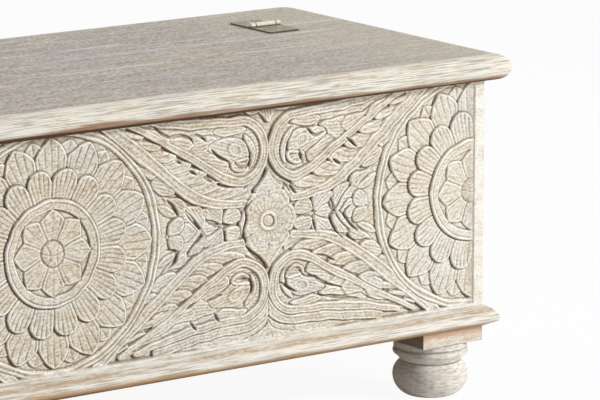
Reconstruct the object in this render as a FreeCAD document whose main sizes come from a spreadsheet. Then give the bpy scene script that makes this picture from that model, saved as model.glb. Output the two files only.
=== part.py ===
import FreeCAD, Part
import math
import os
import re
import Sketcher

os.makedirs("parts", exist_ok=True)
doc = FreeCAD.newDocument("chest")
sheet = doc.addObject("Spreadsheet::Sheet", "sizes")

# Driving dimensions in millimetres. Names that end in Count are counts and in Share are shares.
drivingSizes = {
    # box of the chest
    "bodyLength": 1120,
    "bodyDepth": 380,
    "wallThickness": 22,
    "panelRise": 252.5,
    # top: a fixed strip at the back, and the lid's two boards in front of it
    "topThickness": 29,
    "topOverhang": 21,
    "noseRadius": 14,
    "backCornerRadius": 26,
    "backStripDepth": 121,
    "lidRearBoardDepth": 123,
    "seamGap": 1.5,
    "lidGap": 0.3,
    # battens under the lid and the rail under the seam
    "battenWidth": 45,
    "battenThickness": 18,
    "battenSpacing": 390,
    "battenFrontGap": 12,
    "battenRearGap": 8,
    "seamRailDepth": 40,
    "seamRailHeight": 30,
    "seamRailReach": 15,
    # inside of the box
    "postWidth": 30,
    "cleatWidth": 22,
    "cleatHeight": 22,
    "cornerBlockWidth": 62,
    "floorThickness": 14,
    # plinth moulding, measured outwards from the panel and down from its top
    "plinthHeight": 25,
    "plinthOut": 14.2,
    "plinthSlopeOut": 8.5,
    "plinthSlopeDrop": 5.2,
    "plinthQuirk": 1.2,
    "plinthNoseDrop": 15,
    "plinthUnderOut": 12,
    "plinthUnderDrop": 19,
    # bun foot, from the floor up
    "footWidth": 82,
    "footBlockHeight": 16,
    "footTurnedHeight": 62,
    "footBaseRadius": 28,
    "footBellyRadius": 42,
    "footBellyHeight": 22,
    "footNeckRadius": 34,
    "footNeckHeight": 37.5,
    "footNeckLength": 2.2,
    "footBeadRadius": 42,
    "footBeadRootRadius": 38.8,
    "footBeadHeight": 49.2,
    "footBeadStart": 45.6,
    "footBeadEnd": 53,
    "footGrooveRadius": 39.5,
    "footGrooveWidth": 1.2,
    "footCollarRadius": 41,
    "footBoltRadius": 4,
    "footBoltLength": 55,
    "footBoltInFoot": 35,
    "boltClearance": 0.1,
    # surface hinge with its barrel above the top
    "hingeInset": 119,
    "hingeLength": 40,
    "hingeReach": 39.5,
    "leafThickness": 2,
    "knuckleRadius": 3.4,
    "knuckleLift": 0.3,
    "knuckleGap": 0.3,
    "endKnuckleLength": 6.5,
    "leafCutback": 0.4,
    "pinRadius": 1.6,
    "pinClearance": 0.05,
    "pinProud": 0.5,
    "leafScrewSpread": 24,
    "leafScrewNear": 13,
    "leafScrewFar": 30,
    # countersunk screws
    "leafScrewHead": 3.3,
    "leafScrewShank": 1.7,
    "leafScrewLength": 20,
    "woodScrewHead": 4.2,
    "woodScrewShank": 2.1,
    "battenScrewLength": 36,
    "floorScrewLength": 30,
    "screwInset": 18,
    "screwClearance": 0.05,
    # how far an edge's middle may lie from an outer side and still belong to it
    "sideTolerance": 0.1,
    # carved field of the front panel
    "carvingDepth": 7,
    "fieldEndMargin": 13,
    "fieldFootMargin": 3,
    "fieldTopMargin": 2,
    "motifSink": 1,
    "overrun": 5,
    "medallionPitch": 546,
    "medallionDrop": 122,
    # medallion, heights above the sunk ground
    "borderRadius": 131,
    "borderBand": 2.6,
    "borderGap": 1.3,
    "borderHeight": 3.4,
    "borderGrooveHeight": 2.2,
    "medallionGroundHeight": 0.6,
    "ringOuterRadius": 60.5,
    "ringInnerRadius": 51,
    "ringHeight": 6.8,
    "ringBevel": 1.6,
    "ringFloorHeight": 2,
    "medallionDomeRadius": 12.5,
    "medallionDomeHeight": 6.6,
    "outerPetalCount": 16,
    "outerPetalRoot": 84,
    "outerPetalTip": 120,
    "outerPetalRootHeight": 2.2,
    "outerPetalTipHeight": 4.8,
    "innerPetalCount": 16,
    "innerPetalRoot": 61,
    "innerPetalTip": 89.5,
    "innerPetalRootHeight": 3.6,
    "innerPetalTipHeight": 6.2,
    "flowerPetalCount": 8,
    "flowerPetalRoot": 13,
    "flowerPetalTip": 42.5,
    "flowerPetalRootHeight": 3.4,
    "flowerPetalTipHeight": 5.2,
    "petalShoulderShare": 0.55,
    "petalFillShare": 0.94,
    "pointedBendShare": 1.25,
    # rosette
    "rosetteBaseRadius": 26,
    "rosettePetalCount": 8,
    "rosettePetalRoot": 14,
    "rosettePetalTip": 34,
    "rosettePetalTipHeight": 5.6,
    "rosetteBaseHeight": 2.4,
    "rosettePetalRootHeight": 3.6,
    "rosetteCupRadius": 13,
    "rosetteCupHeight": 4,
    "rosetteDomeRadius": 9.5,
    "rosetteDomeHeight": 6.6,
    # paisley, places measured from its rosette's centre
    "paisleyHeadAcross": 37,
    "paisleyHeadUp": 82,
    "paisleyHeadRadius": 34,
    "paisleyTailAcross": 150,
    "paisleyTailDip": 3,
    "paisleyBellyRadius": 131,
    "paisleyRim": 5.5,
    "paisleyHeight": 6,
    "paisleyTipRetreat": 15,
    "seedRadius": 14,
    "seedTailAcross": 118,
    "seedTailDip": 8,
    "seedBellyRadius": 120,
    "seedHeight": 4.6,
    "seedHollowRadius": 6.5,
    # long band that runs under each paisley
    "bandStartAcross": 172,
    "bandStartUp": 104,
    "bandEndAcross": 36,
    "bandEndUp": 27,
    "bandWidth": 7,
    "bandRadius": 170,
    "bandHeight": 5,
    # leaves between the medallion and the rosette
    "leafRootAcross": 137,
    "leafTipAcross": 88,
    "leafHalfWidth": 21,
    "leafHeight": 4.6,
    "smallLeafTipAcross": 38,
    "smallLeafGap": 2,
    "smallLeafHalfWidth": 13,
    "sideLeafRootAcross": 140,
    "sideLeafRootUp": 38,
    "sideLeafTipAcross": 98,
    "sideLeafTipUp": 23,
    "sideLeafHalfWidth": 7,
    "keyLeafStartUp": 98,
    "keyLeafEndUp": 119,
    "keyLeafHalfWidth": 6,
}

for line, (name, value) in enumerate(drivingSizes.items(), start=1):
    sheet.set(f"A{line}", name)
    sheet.set(f"B{line}", str(value))
    sheet.setAlias(f"B{line}", name)
doc.recompute()

# Places worked out from the driving dimensions: row axes are X along the length,
# Y towards the back and Z up, with the floor at zero.
bodyUnder = "(footTurnedHeight + footBlockHeight)"
plinthTop = f"({bodyUnder} + plinthHeight)"
panelTop = f"({plinthTop} + panelRise)"
topSurface = f"({panelTop} + topThickness)"
lidUnder = f"({panelTop} + lidGap)"
halfLength = "(bodyLength / 2)"
halfDepth = "(bodyDepth / 2)"
innerHalfLength = f"({halfLength} - wallThickness)"
innerHalfDepth = f"({halfDepth} - wallThickness)"
topHalfLength = f"({halfLength} + topOverhang)"
hingeOffset = f"({topHalfLength} - hingeInset)"
topHalfDepth = f"({halfDepth} + topOverhang)"
seamY = f"({topHalfDepth} - backStripDepth)"
floorUnder = f"({bodyUnder} + cleatHeight)"
floorTop = f"({floorUnder} + floorThickness)"
hingeAxisZ = f"({topSurface} + knuckleRadius + knuckleLift)"
footCentreX = f"({halfLength} - footWidth / 2)"
footCentreY = f"({halfDepth} - footWidth / 2)"
medallionZ = f"({panelTop} - medallionDrop)"
groundY = f"(carvingDepth - {halfDepth})"
rosetteX = "(medallionPitch / 2)"


def cells(text):
    def address(word):
        return f"sizes.{word[0]}" if word[0] in drivingSizes else word[0]

    return re.sub(r"[A-Za-z]\w*", address, text)


def number(text):
    value = sheet.evalExpression(cells(text))
    return float(getattr(value, "Value", value))


def bind(item, **texts):
    for target, text in texts.items():
        item.setExpression(target.replace("_", "."), cells(text))


def place(item, x="0", y="0", z="0"):
    bind(item, Placement_Base_x=x, Placement_Base_y=y, Placement_Base_z=z)
    return item


def box(label, x, y, z):
    item = doc.addObject("Part::Box", label)
    bind(item, Length=f"{x[1]} - ({x[0]})", Width=f"{y[1]} - ({y[0]})", Height=f"{z[1]} - ({z[0]})")
    return place(item, x[0], y[0], z[0])


def combine(kind, label, first, second):
    item = doc.addObject(f"Part::{kind}", label)
    item.Base = first
    item.Tool = second
    return item


def gather(kind, label, members):
    item = doc.addObject(f"Part::{kind}", label)
    if kind == "Compound":
        item.Links = members
    else:
        item.Shapes = members
    return item


def mirror(label, source, normal, x="0", z="0"):
    item = doc.addObject("Part::Mirroring", label)
    item.Source = source
    item.Normal = normal
    bind(item, Base_x=x, Base_z=z)
    return item


def held(label, shape):
    item = doc.addObject("Part::Feature", label)
    item.Shape = shape
    return item


# Sketches and features of a body

def newBody(label):
    return doc.addObject("PartDesign::Body", label)


def originPart(body, role):
    return [part for part in body.Origin.OriginFeatures if part.Role == role][0]


def sketchIn(body, plane, name, *outlines):
    sketch = body.newObject("Sketcher::SketchObject", name)
    sketch.AttachmentSupport = (originPart(body, plane), [""])
    sketch.MapMode = "FlatFace"
    for corners in outlines:
        addOutline(sketch, corners)
    return sketch


# A corner is (x, y, bend): the bend is the arc that leads to the next corner, as a sign and a
# radius, + with its centre on the left of the way there and - on the right, or "" for a line.
def addOutline(sketch, corners):
    first = sketch.GeometryCount
    spots = [FreeCAD.Vector(number(x), number(y), 0) for x, y, bend in corners]
    ends = []
    for index, (x, y, bend) in enumerate(corners):
        start, end = spots[index], spots[(index + 1) % len(spots)]
        if bend:
            sketch.addGeometry(arcBetween(start, end, bend[0], number(bend[1:])))
        else:
            sketch.addGeometry(Part.LineSegment(start, end))
        ends.append((2, 1) if bend.startswith("-") else (1, 2))
    for index, (x, y, bend) in enumerate(corners):
        item = first + index
        following = (index + 1) % len(corners)
        begin, finish = ends[index]
        joint = Sketcher.Constraint("Coincident", item, finish, first + following, ends[following][0])
        sketch.addConstraint(joint)
        holdPoint(sketch, item, begin, x, y)
        if bend:
            holdRadius(sketch, item, bend[1:])


def holdRadius(sketch, item, text):
    limit = Sketcher.Constraint("Radius", item, number(text))
    limit.Name = f"r{item}"
    sketch.addConstraint(limit)
    sketch.setExpression(f"Constraints.r{item}", cells(text))


# Ties a point of a sketch to its two distances from the origin, or to an axis where one is zero
def holdPoint(sketch, item, point, x, y):
    for name, kind, axis, text in (("x", "DistanceX", -2, x), ("y", "DistanceY", -1, y)):
        if text == "0":
            sketch.addConstraint(Sketcher.Constraint("PointOnObject", item, point, axis))
            continue
        limit = Sketcher.Constraint(kind, -1, 1, item, point, number(text))
        limit.Name = f"{name}{item}"
        sketch.addConstraint(limit)
        sketch.setExpression(f"Constraints.{name}{item}", cells(text))


def addCircle(sketch, radius, x="0", y="0"):
    spot = FreeCAD.Vector(number(x), number(y), 0)
    item = sketch.addGeometry(Part.Circle(spot, FreeCAD.Vector(0, 0, 1), number(radius)))
    if x == y == "0":
        sketch.addConstraint(Sketcher.Constraint("Coincident", item, 3, -1, 1))
    else:
        holdPoint(sketch, item, 3, x, y)
    holdRadius(sketch, item, radius)


# Radius of the arc that leaves an axis-parallel tangent and comes in by inset over a distance
def bulge(distance, inset):
    return f"(({distance}) ^ 2 + ({inset}) ^ 2) / (2 * ({inset}))"


def arcBetween(start, end, side, radius):
    chord = end - start
    half = chord.Length / 2
    rise = math.sqrt(max(radius * radius - half * half, 0))
    left = FreeCAD.Vector(-chord.y, chord.x, 0).normalize()
    centre = start + chord * (1 / 2) + left * (rise if side == "+" else -rise)
    begin, finish = (start, end) if side == "+" else (end, start)
    angles = [math.atan2(spot.y - centre.y, spot.x - centre.x) for spot in (begin, finish)]
    if angles[1] < angles[0]:
        angles[1] += 2 * math.pi
    return Part.ArcOfCircle(Part.Circle(centre, FreeCAD.Vector(0, 0, 1), radius), *angles)


def extruded(body, kind, name, sketch, length, backwards=False, midplane=False):
    item = body.newObject(f"PartDesign::{kind}", name)
    item.Profile = sketch
    item.Midplane = midplane
    item.Reversed = backwards
    bind(item, Length=length)
    body.Tip = item
    return item


def turned(body, kind, name, sketch, axis):
    item = body.newObject(f"PartDesign::{kind}", name)
    item.Profile = sketch
    item.ReferenceAxis = (originPart(body, axis), [""])
    item.Angle = 360
    body.Tip = item
    return item


def around(body, name, original, axis, count):
    item = body.newObject("PartDesign::PolarPattern", name)
    item.Originals = [original]
    item.Axis = (originPart(body, axis), [""])
    item.Angle = 360
    bind(item, Occurrences=count)
    body.Tip = item
    return item


# Top boards: a slab with a bullnose on its outer edges, from a padded outline and fillets. The
# two corners at the back are rounded in plan first, and the bullnose follows them.
def topBoard(label, y, z, nosedSides):
    body = newBody(label)
    left, right = f"-{topHalfLength}", topHalfLength
    plan = [(left, y[0], ""), (right, y[0], ""), (right, y[1], ""), (left, y[1], "")]
    sketch = sketchIn(body, "XY_Plane", f"{label}Plan", plan)
    slab = extruded(body, "Pad", f"{label}Slab", sketch, f"{z[1]} - {z[0]}")
    place(body, z=z[0])
    doc.recompute()
    if "back" in nosedSides:
        upright = outerEdges(slab.Shape, nosedSides, level=False)
        slab = rounded(body, f"{label}Corners", slab, upright, "backCornerRadius")
        doc.recompute()
    rounded(body, f"{label}Nose", slab, outerEdges(slab.Shape, nosedSides), "noseRadius")
    return body


# Names of the edges that run level along a board's outer sides, or of its upright corners there
def outerEdges(shape, nosedSides, level=True):
    tolerance = number("sideTolerance")
    found = []
    for index, edge in enumerate(shape.Edges, start=1):
        middle = edge.CenterOfMass
        isLevel = abs(edge.Vertexes[0].Z - edge.Vertexes[-1].Z) < tolerance
        onSide = abs(abs(middle.x) - number(topHalfLength)) < tolerance
        onFront = "front" in nosedSides and abs(middle.y + number(topHalfDepth)) < tolerance
        onBack = "back" in nosedSides and abs(middle.y - number(topHalfDepth)) < tolerance
        if level and isLevel and (onSide or onFront or onBack):
            found.append(f"Edge{index}")
        if not level and not isLevel and onSide and (onFront or onBack):
            found.append(f"Edge{index}")
    return found


def rounded(body, name, base, edges, radius):
    item = body.newObject("PartDesign::Fillet", name)
    item.Base = (base, edges)
    bind(item, Radius=radius)
    body.Tip = item
    return item


# A countersunk screw, or the hole for one, as one turned solid that points down from its head
def screwShape(head, shank, length, growth=0.0, overrun=0.0):
    headDepth = head - shank
    profile = [
        (0, overrun), (head + growth, overrun), (head + growth, 0),
        (shank + growth, -headDepth), (shank + growth, -length - growth), (0, -length - growth),
    ]
    if not overrun:
        profile = profile[2:]
        profile.insert(0, (0, 0))
    points = [FreeCAD.Vector(radius, 0, height) for radius, height in profile]
    face = Part.Face(Part.makePolygon(points + points[:1]))
    return face.revolve(FreeCAD.Vector(0, 0, 0), FreeCAD.Vector(0, 0, 1), 360)


# One node of equal screws, with the tool that cuts their holes. They are driven down or up.
def screwGroup(label, spots, head, shank, length, upwards=False):
    solids = {}
    purposes = (("screws", 0.0, 0.0), ("holes", number("screwClearance"), number("overrun")))
    for purpose, growth, overrun in purposes:
        master = screwShape(number(head), number(shank), number(length), growth, overrun)
        if upwards:
            master = master.mirror(FreeCAD.Vector(0, 0, 0), FreeCAD.Vector(0, 0, 1))
        copies = [master.translated(FreeCAD.Vector(*spot)) for spot in spots]
        solids[purpose] = Part.makeCompound(copies)
    return held(label, solids["screws"]), held(f"{label}Holes", solids["holes"])


# Bun foot: a square top left on the blank, with a collar, a bead, a neck and a bun turned below it
def foot(label, x, y):
    body = newBody(label)
    underBelly = bulge("footBellyHeight", "footBellyRadius - footBaseRadius")
    overBelly = bulge("footNeckHeight - footBellyHeight", "footBellyRadius - footNeckRadius")
    underBead = bulge("footBeadHeight - footBeadStart", "footBeadRadius - footBeadRootRadius")
    overBead = bulge("footBeadEnd - footBeadHeight", "footBeadRadius - footGrooveRadius")
    profile = [
        ("0", "0", ""),
        ("footBaseRadius", "0", f"+{underBelly}"),
        ("footBellyRadius", "footBellyHeight", f"+{overBelly}"),
        ("footNeckRadius", "footNeckHeight", ""),
        ("footNeckRadius", "footNeckHeight + footNeckLength", ""),
        ("footBeadRootRadius", "footBeadStart", f"+{underBead}"),
        ("footBeadRadius", "footBeadHeight", f"+{overBead}"),
        ("footGrooveRadius", "footBeadEnd", ""),
        ("footGrooveRadius", "footBeadEnd + footGrooveWidth", ""),
        ("footCollarRadius", "footBeadEnd + footGrooveWidth", ""),
        ("footCollarRadius", "footTurnedHeight", ""),
        ("0", "footTurnedHeight", ""),
    ]
    sketch = sketchIn(body, "XZ_Plane", f"{label}Profile", profile)
    turned(body, "Revolution", f"{label}Turning", sketch, "Z_Axis")
    half = "(footWidth / 2)"
    square = [(f"-{half}", f"-{half}", ""), (half, f"-{half}", ""), (half, half, ""), (f"-{half}", half, "")]
    blank = sketchIn(body, "XY_Plane", f"{label}Square", square)
    bind(blank, AttachmentOffset_Base_z="footTurnedHeight")
    extruded(body, "Pad", f"{label}Block", blank, "footBlockHeight")
    bore = sketchIn(body, "XY_Plane", f"{label}BoltCircle")
    addCircle(bore, "footBoltRadius + boltClearance")
    bind(bore, AttachmentOffset_Base_z=bodyUnder)
    extruded(body, "Pocket", f"{label}BoltHole", bore, "footBoltInFoot + boltClearance")
    return place(body, x, y)


# Plinth moulding: a sloped top, a quirk, an ovolo nose and an undercut, mitred at both ends
def moulding(label, run, turn, x="0", y="0"):
    body = newBody(label)
    nose = bulge("plinthNoseDrop - plinthSlopeDrop - plinthQuirk", "plinthOut - plinthSlopeOut")
    tuck = bulge("plinthUnderDrop - plinthNoseDrop", "plinthOut - plinthUnderOut")
    profile = [
        ("0", plinthTop, ""),
        ("0", bodyUnder, ""),
        ("-plinthUnderOut", f"{plinthTop} - plinthUnderDrop", f"-{tuck}"),
        ("-plinthOut", f"{plinthTop} - plinthNoseDrop", f"-{nose}"),
        ("-plinthSlopeOut", f"{plinthTop} - plinthSlopeDrop - plinthQuirk", ""),
        ("-plinthSlopeOut", f"{plinthTop} - plinthSlopeDrop", ""),
    ]
    sketch = sketchIn(body, "YZ_Plane", f"{label}Profile", profile)
    extruded(body, "Pad", f"{label}Run", sketch, f"{run} + 2 * plinthOut", midplane=True)
    near, far = f"({run} / 2)", f"({run} / 2 + plinthOut + overrun)"
    out = "-(plinthOut + overrun)"
    right = [(near, "0", ""), (far, out, ""), (far, "overrun", ""), (near, "overrun", "")]
    left = [(f"-{corner[0]}", corner[1], "") for corner in right]
    cut = sketchIn(body, "XY_Plane", f"{label}Mitres", right, left)
    extruded(body, "Pocket", f"{label}Ends", cut, f"2 * {plinthTop}", midplane=True)
    body.Placement.Rotation = FreeCAD.Rotation(FreeCAD.Vector(0, 0, 1), turn)
    return place(body, x, y)


# A petal that points along +Z of its body, with a round tip or a pointed one
def petalOutline(root, tip, count, pointed):
    shoulder = f"({root} + ({tip} - {root}) * petalShoulderShare)"
    rootHalf = f"({root} * tan(180 / {count}) * petalFillShare)"
    halfWidth = f"({shoulder} * tan(180 / {count}) * petalFillShare)"
    reach = f"({tip} - {shoulder})"
    bend = "+" + bulge(halfWidth, reach)
    if pointed:
        bend = f"+sqrt({halfWidth} ^ 2 + {reach} ^ 2) * pointedBendShare"
    return [
        (f"-{rootHalf}", root, ""), (rootHalf, root, ""),
        (halfWidth, shoulder, bend), ("0", tip, bend), (f"-{halfWidth}", shoulder, ""),
    ]


# A ring of petals whose tops all slope up from root to tip: padded, repeated and turned down
def petalRing(body, name, root, tip, count, rootHeight, tipHeight, pointed=False, offset=False):
    sketch = sketchIn(body, "XZ_Plane", f"{name}Outline", petalOutline(root, tip, count, pointed))
    if offset:
        halfTurn = FreeCAD.Rotation(FreeCAD.Vector(0, 0, 1), 180 / number(count))
        sketch.AttachmentOffset = FreeCAD.Placement(FreeCAD.Vector(0, 0, 0), halfTurn)
    petal = extruded(body, "Pad", f"{name}Petal", sketch, tipHeight)
    around(body, f"{name}Ring", petal, "Y_Axis", count)
    fall = f"overrun * ({tipHeight} - {rootHeight}) / ({tip} - {root})"
    slope = [
        (root, f"-{rootHeight}", ""),
        (f"{tip} + overrun", f"-{tipHeight} - {fall}", ""),
        (f"{tip} + overrun", f"-{tipHeight} - overrun", ""),
        (root, f"-{tipHeight} - overrun", ""),
    ]
    sketch = sketchIn(body, "XY_Plane", f"{name}SlopeProfile", slope)
    turned(body, "Groove", f"{name}Slope", sketch, "Y_Axis")


def medallion(label):
    body = newBody(label)
    dome = bulge("medallionDomeRadius", "medallionDomeHeight - ringFloorHeight")
    inner = "(borderRadius - 2 * borderBand - borderGap)"
    profile = [
        ("0", "motifSink", ""),
        ("borderRadius", "motifSink", ""),
        ("borderRadius", "-borderHeight", ""),
        ("borderRadius - borderBand", "-borderHeight", ""),
        ("borderRadius - borderBand", "-borderGrooveHeight", ""),
        ("borderRadius - borderBand - borderGap", "-borderGrooveHeight", ""),
        ("borderRadius - borderBand - borderGap", "-borderHeight", ""),
        (inner, "-borderHeight", ""),
        (inner, "-medallionGroundHeight", ""),
        ("ringOuterRadius", "-medallionGroundHeight", ""),
        ("ringOuterRadius", "-ringHeight + ringBevel", ""),
        ("ringOuterRadius - ringBevel", "-ringHeight", ""),
        ("ringInnerRadius + ringBevel", "-ringHeight", ""),
        ("ringInnerRadius", "-ringHeight + ringBevel", ""),
        ("ringInnerRadius", "-ringFloorHeight", ""),
        ("medallionDomeRadius", "-ringFloorHeight", f"-{dome}"),
        ("0", "-medallionDomeHeight", ""),
    ]
    sketch = sketchIn(body, "XY_Plane", f"{label}Profile", profile)
    turned(body, "Revolution", f"{label}Rings", sketch, "Y_Axis")
    petalRing(body, f"{label}Outer", "outerPetalRoot", "outerPetalTip", "outerPetalCount",
              "outerPetalRootHeight", "outerPetalTipHeight", pointed=True)
    petalRing(body, f"{label}Inner", "innerPetalRoot", "innerPetalTip", "innerPetalCount",
              "innerPetalRootHeight", "innerPetalTipHeight", offset=True)
    petalRing(body, f"{label}Flower", "flowerPetalRoot", "flowerPetalTip", "flowerPetalCount",
              "flowerPetalRootHeight", "flowerPetalTipHeight", pointed=True)
    return place(body, "0", groundY, medallionZ)


def rosette(label):
    body = newBody(label)
    dome = bulge("rosetteDomeRadius", "rosetteDomeHeight - rosetteCupHeight")
    profile = [
        ("0", "motifSink", ""),
        ("rosetteBaseRadius", "motifSink", ""),
        ("rosetteBaseRadius", "-rosetteBaseHeight", ""),
        ("rosetteCupRadius", "-rosetteBaseHeight", ""),
        ("rosetteCupRadius", "-rosetteCupHeight", ""),
        ("rosetteDomeRadius", "-rosetteCupHeight", f"-{dome}"),
        ("0", "-rosetteDomeHeight", ""),
    ]
    sketch = sketchIn(body, "XY_Plane", f"{label}Profile", profile)
    turned(body, "Revolution", f"{label}Core", sketch, "Y_Axis")
    petalRing(body, label, "rosettePetalRoot", "rosettePetalTip", "rosettePetalCount",
              "rosettePetalRootHeight", "rosettePetalTipHeight")
    return place(body, rosetteX, groundY, medallionZ)


# A raised form of even height, padded from a little below the ground
def raised(label, height, *outlines, hole=None):
    body = newBody(label)
    sketch = sketchIn(body, "XZ_Plane", f"{label}Outline", *outlines)
    if hole:
        addCircle(sketch, *hole)
    bind(sketch, AttachmentOffset_Base_z="-motifSink")
    extruded(body, "Pad", f"{label}Pad", sketch, f"{height} + motifSink")
    return place(body, rosetteX, groundY, medallionZ)


# Teardrop outline: from its tail down one side, round the head and back along the top
def teardrop(tailX, tailY, headRadius, sideRadius):
    x, y = "-paisleyHeadAcross", "paisleyHeadUp"
    return [
        (tailX, tailY, f"+{sideRadius}"),
        (x, f"{y} - {headRadius}", f"+{headRadius}"),
        (f"{x} + {headRadius}", y, f"+{headRadius}"),
        (x, f"{y} + {headRadius}", ""),
    ]


def lens(rootX, rootY, tipX, tipY, halfWidth):
    halfLong = f"sqrt(({tipX} - ({rootX})) ^ 2 + ({tipY} - ({rootY})) ^ 2) / 2"
    bend = "+" + bulge(halfLong, halfWidth)
    return [(rootX, rootY, bend), (tipX, tipY, bend)]


def paisley():
    top = "paisleyHeadUp + paisleyHeadRadius - paisleyTailDip"
    outer = teardrop("-paisleyTailAcross", top, "paisleyHeadRadius", "paisleyBellyRadius")
    inner = teardrop("-paisleyTailAcross + paisleyTipRetreat", f"{top} - paisleyRim",
                     "(paisleyHeadRadius - paisleyRim)", "(paisleyBellyRadius - paisleyRim)")
    rim = raised("paisleyRimForm", "paisleyHeight", outer, inner)
    seedTop = "paisleyHeadUp + paisleyHeadRadius - seedTailDip"
    seed = raised("paisleySeed", "seedHeight",
                  teardrop("-seedTailAcross", seedTop, "seedRadius", "seedBellyRadius"),
                  hole=("seedHollowRadius", "-paisleyHeadAcross", "paisleyHeadUp"))
    half = "bandWidth / 2"
    band = raised("longBand", "bandHeight", [
        (f"-bandStartAcross - {half}", f"bandStartUp - {half}", f"+bandRadius + {half}"),
        ("-bandEndAcross", f"bandEndUp - {half}", ""),
        ("-bandEndAcross", f"bandEndUp + {half}", f"-bandRadius - {half}"),
        (f"-bandStartAcross + {half}", f"bandStartUp + {half}", ""),
    ])
    sideLeaf = raised("sideLeaf", "leafHeight", lens(
        "-sideLeafRootAcross", "sideLeafRootUp", "-sideLeafTipAcross", "sideLeafTipUp", "sideLeafHalfWidth"))
    return [rim, seed, band, sideLeaf]


def leaves():
    bigLeaf = raised("bigLeaf", "leafHeight", lens(
        "-leafRootAcross", "0", "-leafTipAcross", "0", "leafHalfWidth"))
    smallLeaf = raised("smallLeaf", "leafHeight", lens(
        "-leafTipAcross + smallLeafGap", "0", "-smallLeafTipAcross", "0", "smallLeafHalfWidth"))
    return [bigLeaf, smallLeaf]


# Front panel: a board with a sunk field, and the motifs that were left standing in the field
def frontPanel():
    body = newBody("frontBoard")
    left, right = f"-{halfLength}", halfLength
    outline = [(left, bodyUnder, ""), (right, bodyUnder, ""), (right, panelTop, ""), (left, panelTop, "")]
    board = sketchIn(body, "XZ_Plane", "frontBoardOutline", outline)
    extruded(body, "Pad", "frontBoardPad", board, "wallThickness", backwards=True)
    right, left = f"({halfLength} - fieldEndMargin)", f"(fieldEndMargin - {halfLength})"
    low, high = f"({plinthTop} + fieldFootMargin)", f"({panelTop} - fieldTopMargin)"
    field = [(left, low, ""), (right, low, ""), (right, high, ""), (left, high, "")]
    fieldSketch = sketchIn(body, "XZ_Plane", "frontFieldOutline", field)
    extruded(body, "Pocket", "frontField", fieldSketch, "carvingDepth")
    place(body, y=f"-{halfDepth}")

    sideways = FreeCAD.Vector(1, 0, 0)
    upright = FreeCAD.Vector(0, 0, 1)
    middle = medallion("medallion")
    outerMedallions = [
        mirror("medallionRight", middle, sideways, x="medallionPitch / 2"),
        mirror("medallionLeft", middle, sideways, x="-medallionPitch / 2"),
    ]
    rightRosette = rosette("rosette")
    rosettes = [rightRosette, mirror("rosetteLeft", rightRosette, sideways)]
    quarter = gather("Compound", "paisleyUpperLeft", paisley())
    row = gather("Compound", "leafRow", leaves())
    keyLeaf = raised("keyLeaf", "leafHeight", lens(
        "0", "keyLeafStartUp", "0", "keyLeafEndUp", "keyLeafHalfWidth"))
    upperHalf = gather("Compound", "paisleyUpper", [
        quarter, mirror("paisleyUpperRight", quarter, sideways, x=rosetteX), keyLeaf])
    rightSpray = gather("Compound", "rightSpray", [
        upperHalf, mirror("paisleyLower", upperHalf, upright, z=medallionZ),
        row, mirror("leafRowRight", row, sideways, x=rosetteX)])
    leftSpray = mirror("leftSpray", rightSpray, sideways)
    motifs = gather("MultiFuse", "motifs", [
        middle, *outerMedallions, *rosettes, rightSpray, leftSpray])
    reach = (f"-{halfDepth}", f"{groundY} + motifSink")
    window = box("carvedWindow", (left, right), reach, (low, high))
    carving = combine("Common", "carving", motifs, window)
    return combine("Fuse", "front_panel", body, carving)


def boxPanels():
    x, y, z = (f"-{halfLength}", halfLength), (innerHalfDepth, halfDepth), (bodyUnder, panelTop)
    ends = (f"-{innerHalfDepth}", innerHalfDepth)
    return [
        box("back_panel", x, y, z),
        box("left_end_panel", (f"-{halfLength}", f"-{innerHalfLength}"), ends, z),
        box("right_end_panel", (innerHalfLength, halfLength), ends, z),
    ]


# The range from the inner face of a wall inwards, on one side of the middle
def inwards(side, face, width):
    near, far = f"({face} - {width})", face
    return (near, far) if side > 0 else (f"-{far}", f"-{near}")


boxCorners = [
    ("front_left", -1, -1), ("front_right", 1, -1), ("back_left", -1, 1), ("back_right", 1, 1)]


def cornerPosts():
    return [
        box(f"corner_post_{name}", inwards(sideX, innerHalfLength, "postWidth"),
            inwards(sideY, innerHalfDepth, "postWidth"), (floorTop, panelTop))
        for name, sideX, sideY in boxCorners
    ]


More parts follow.
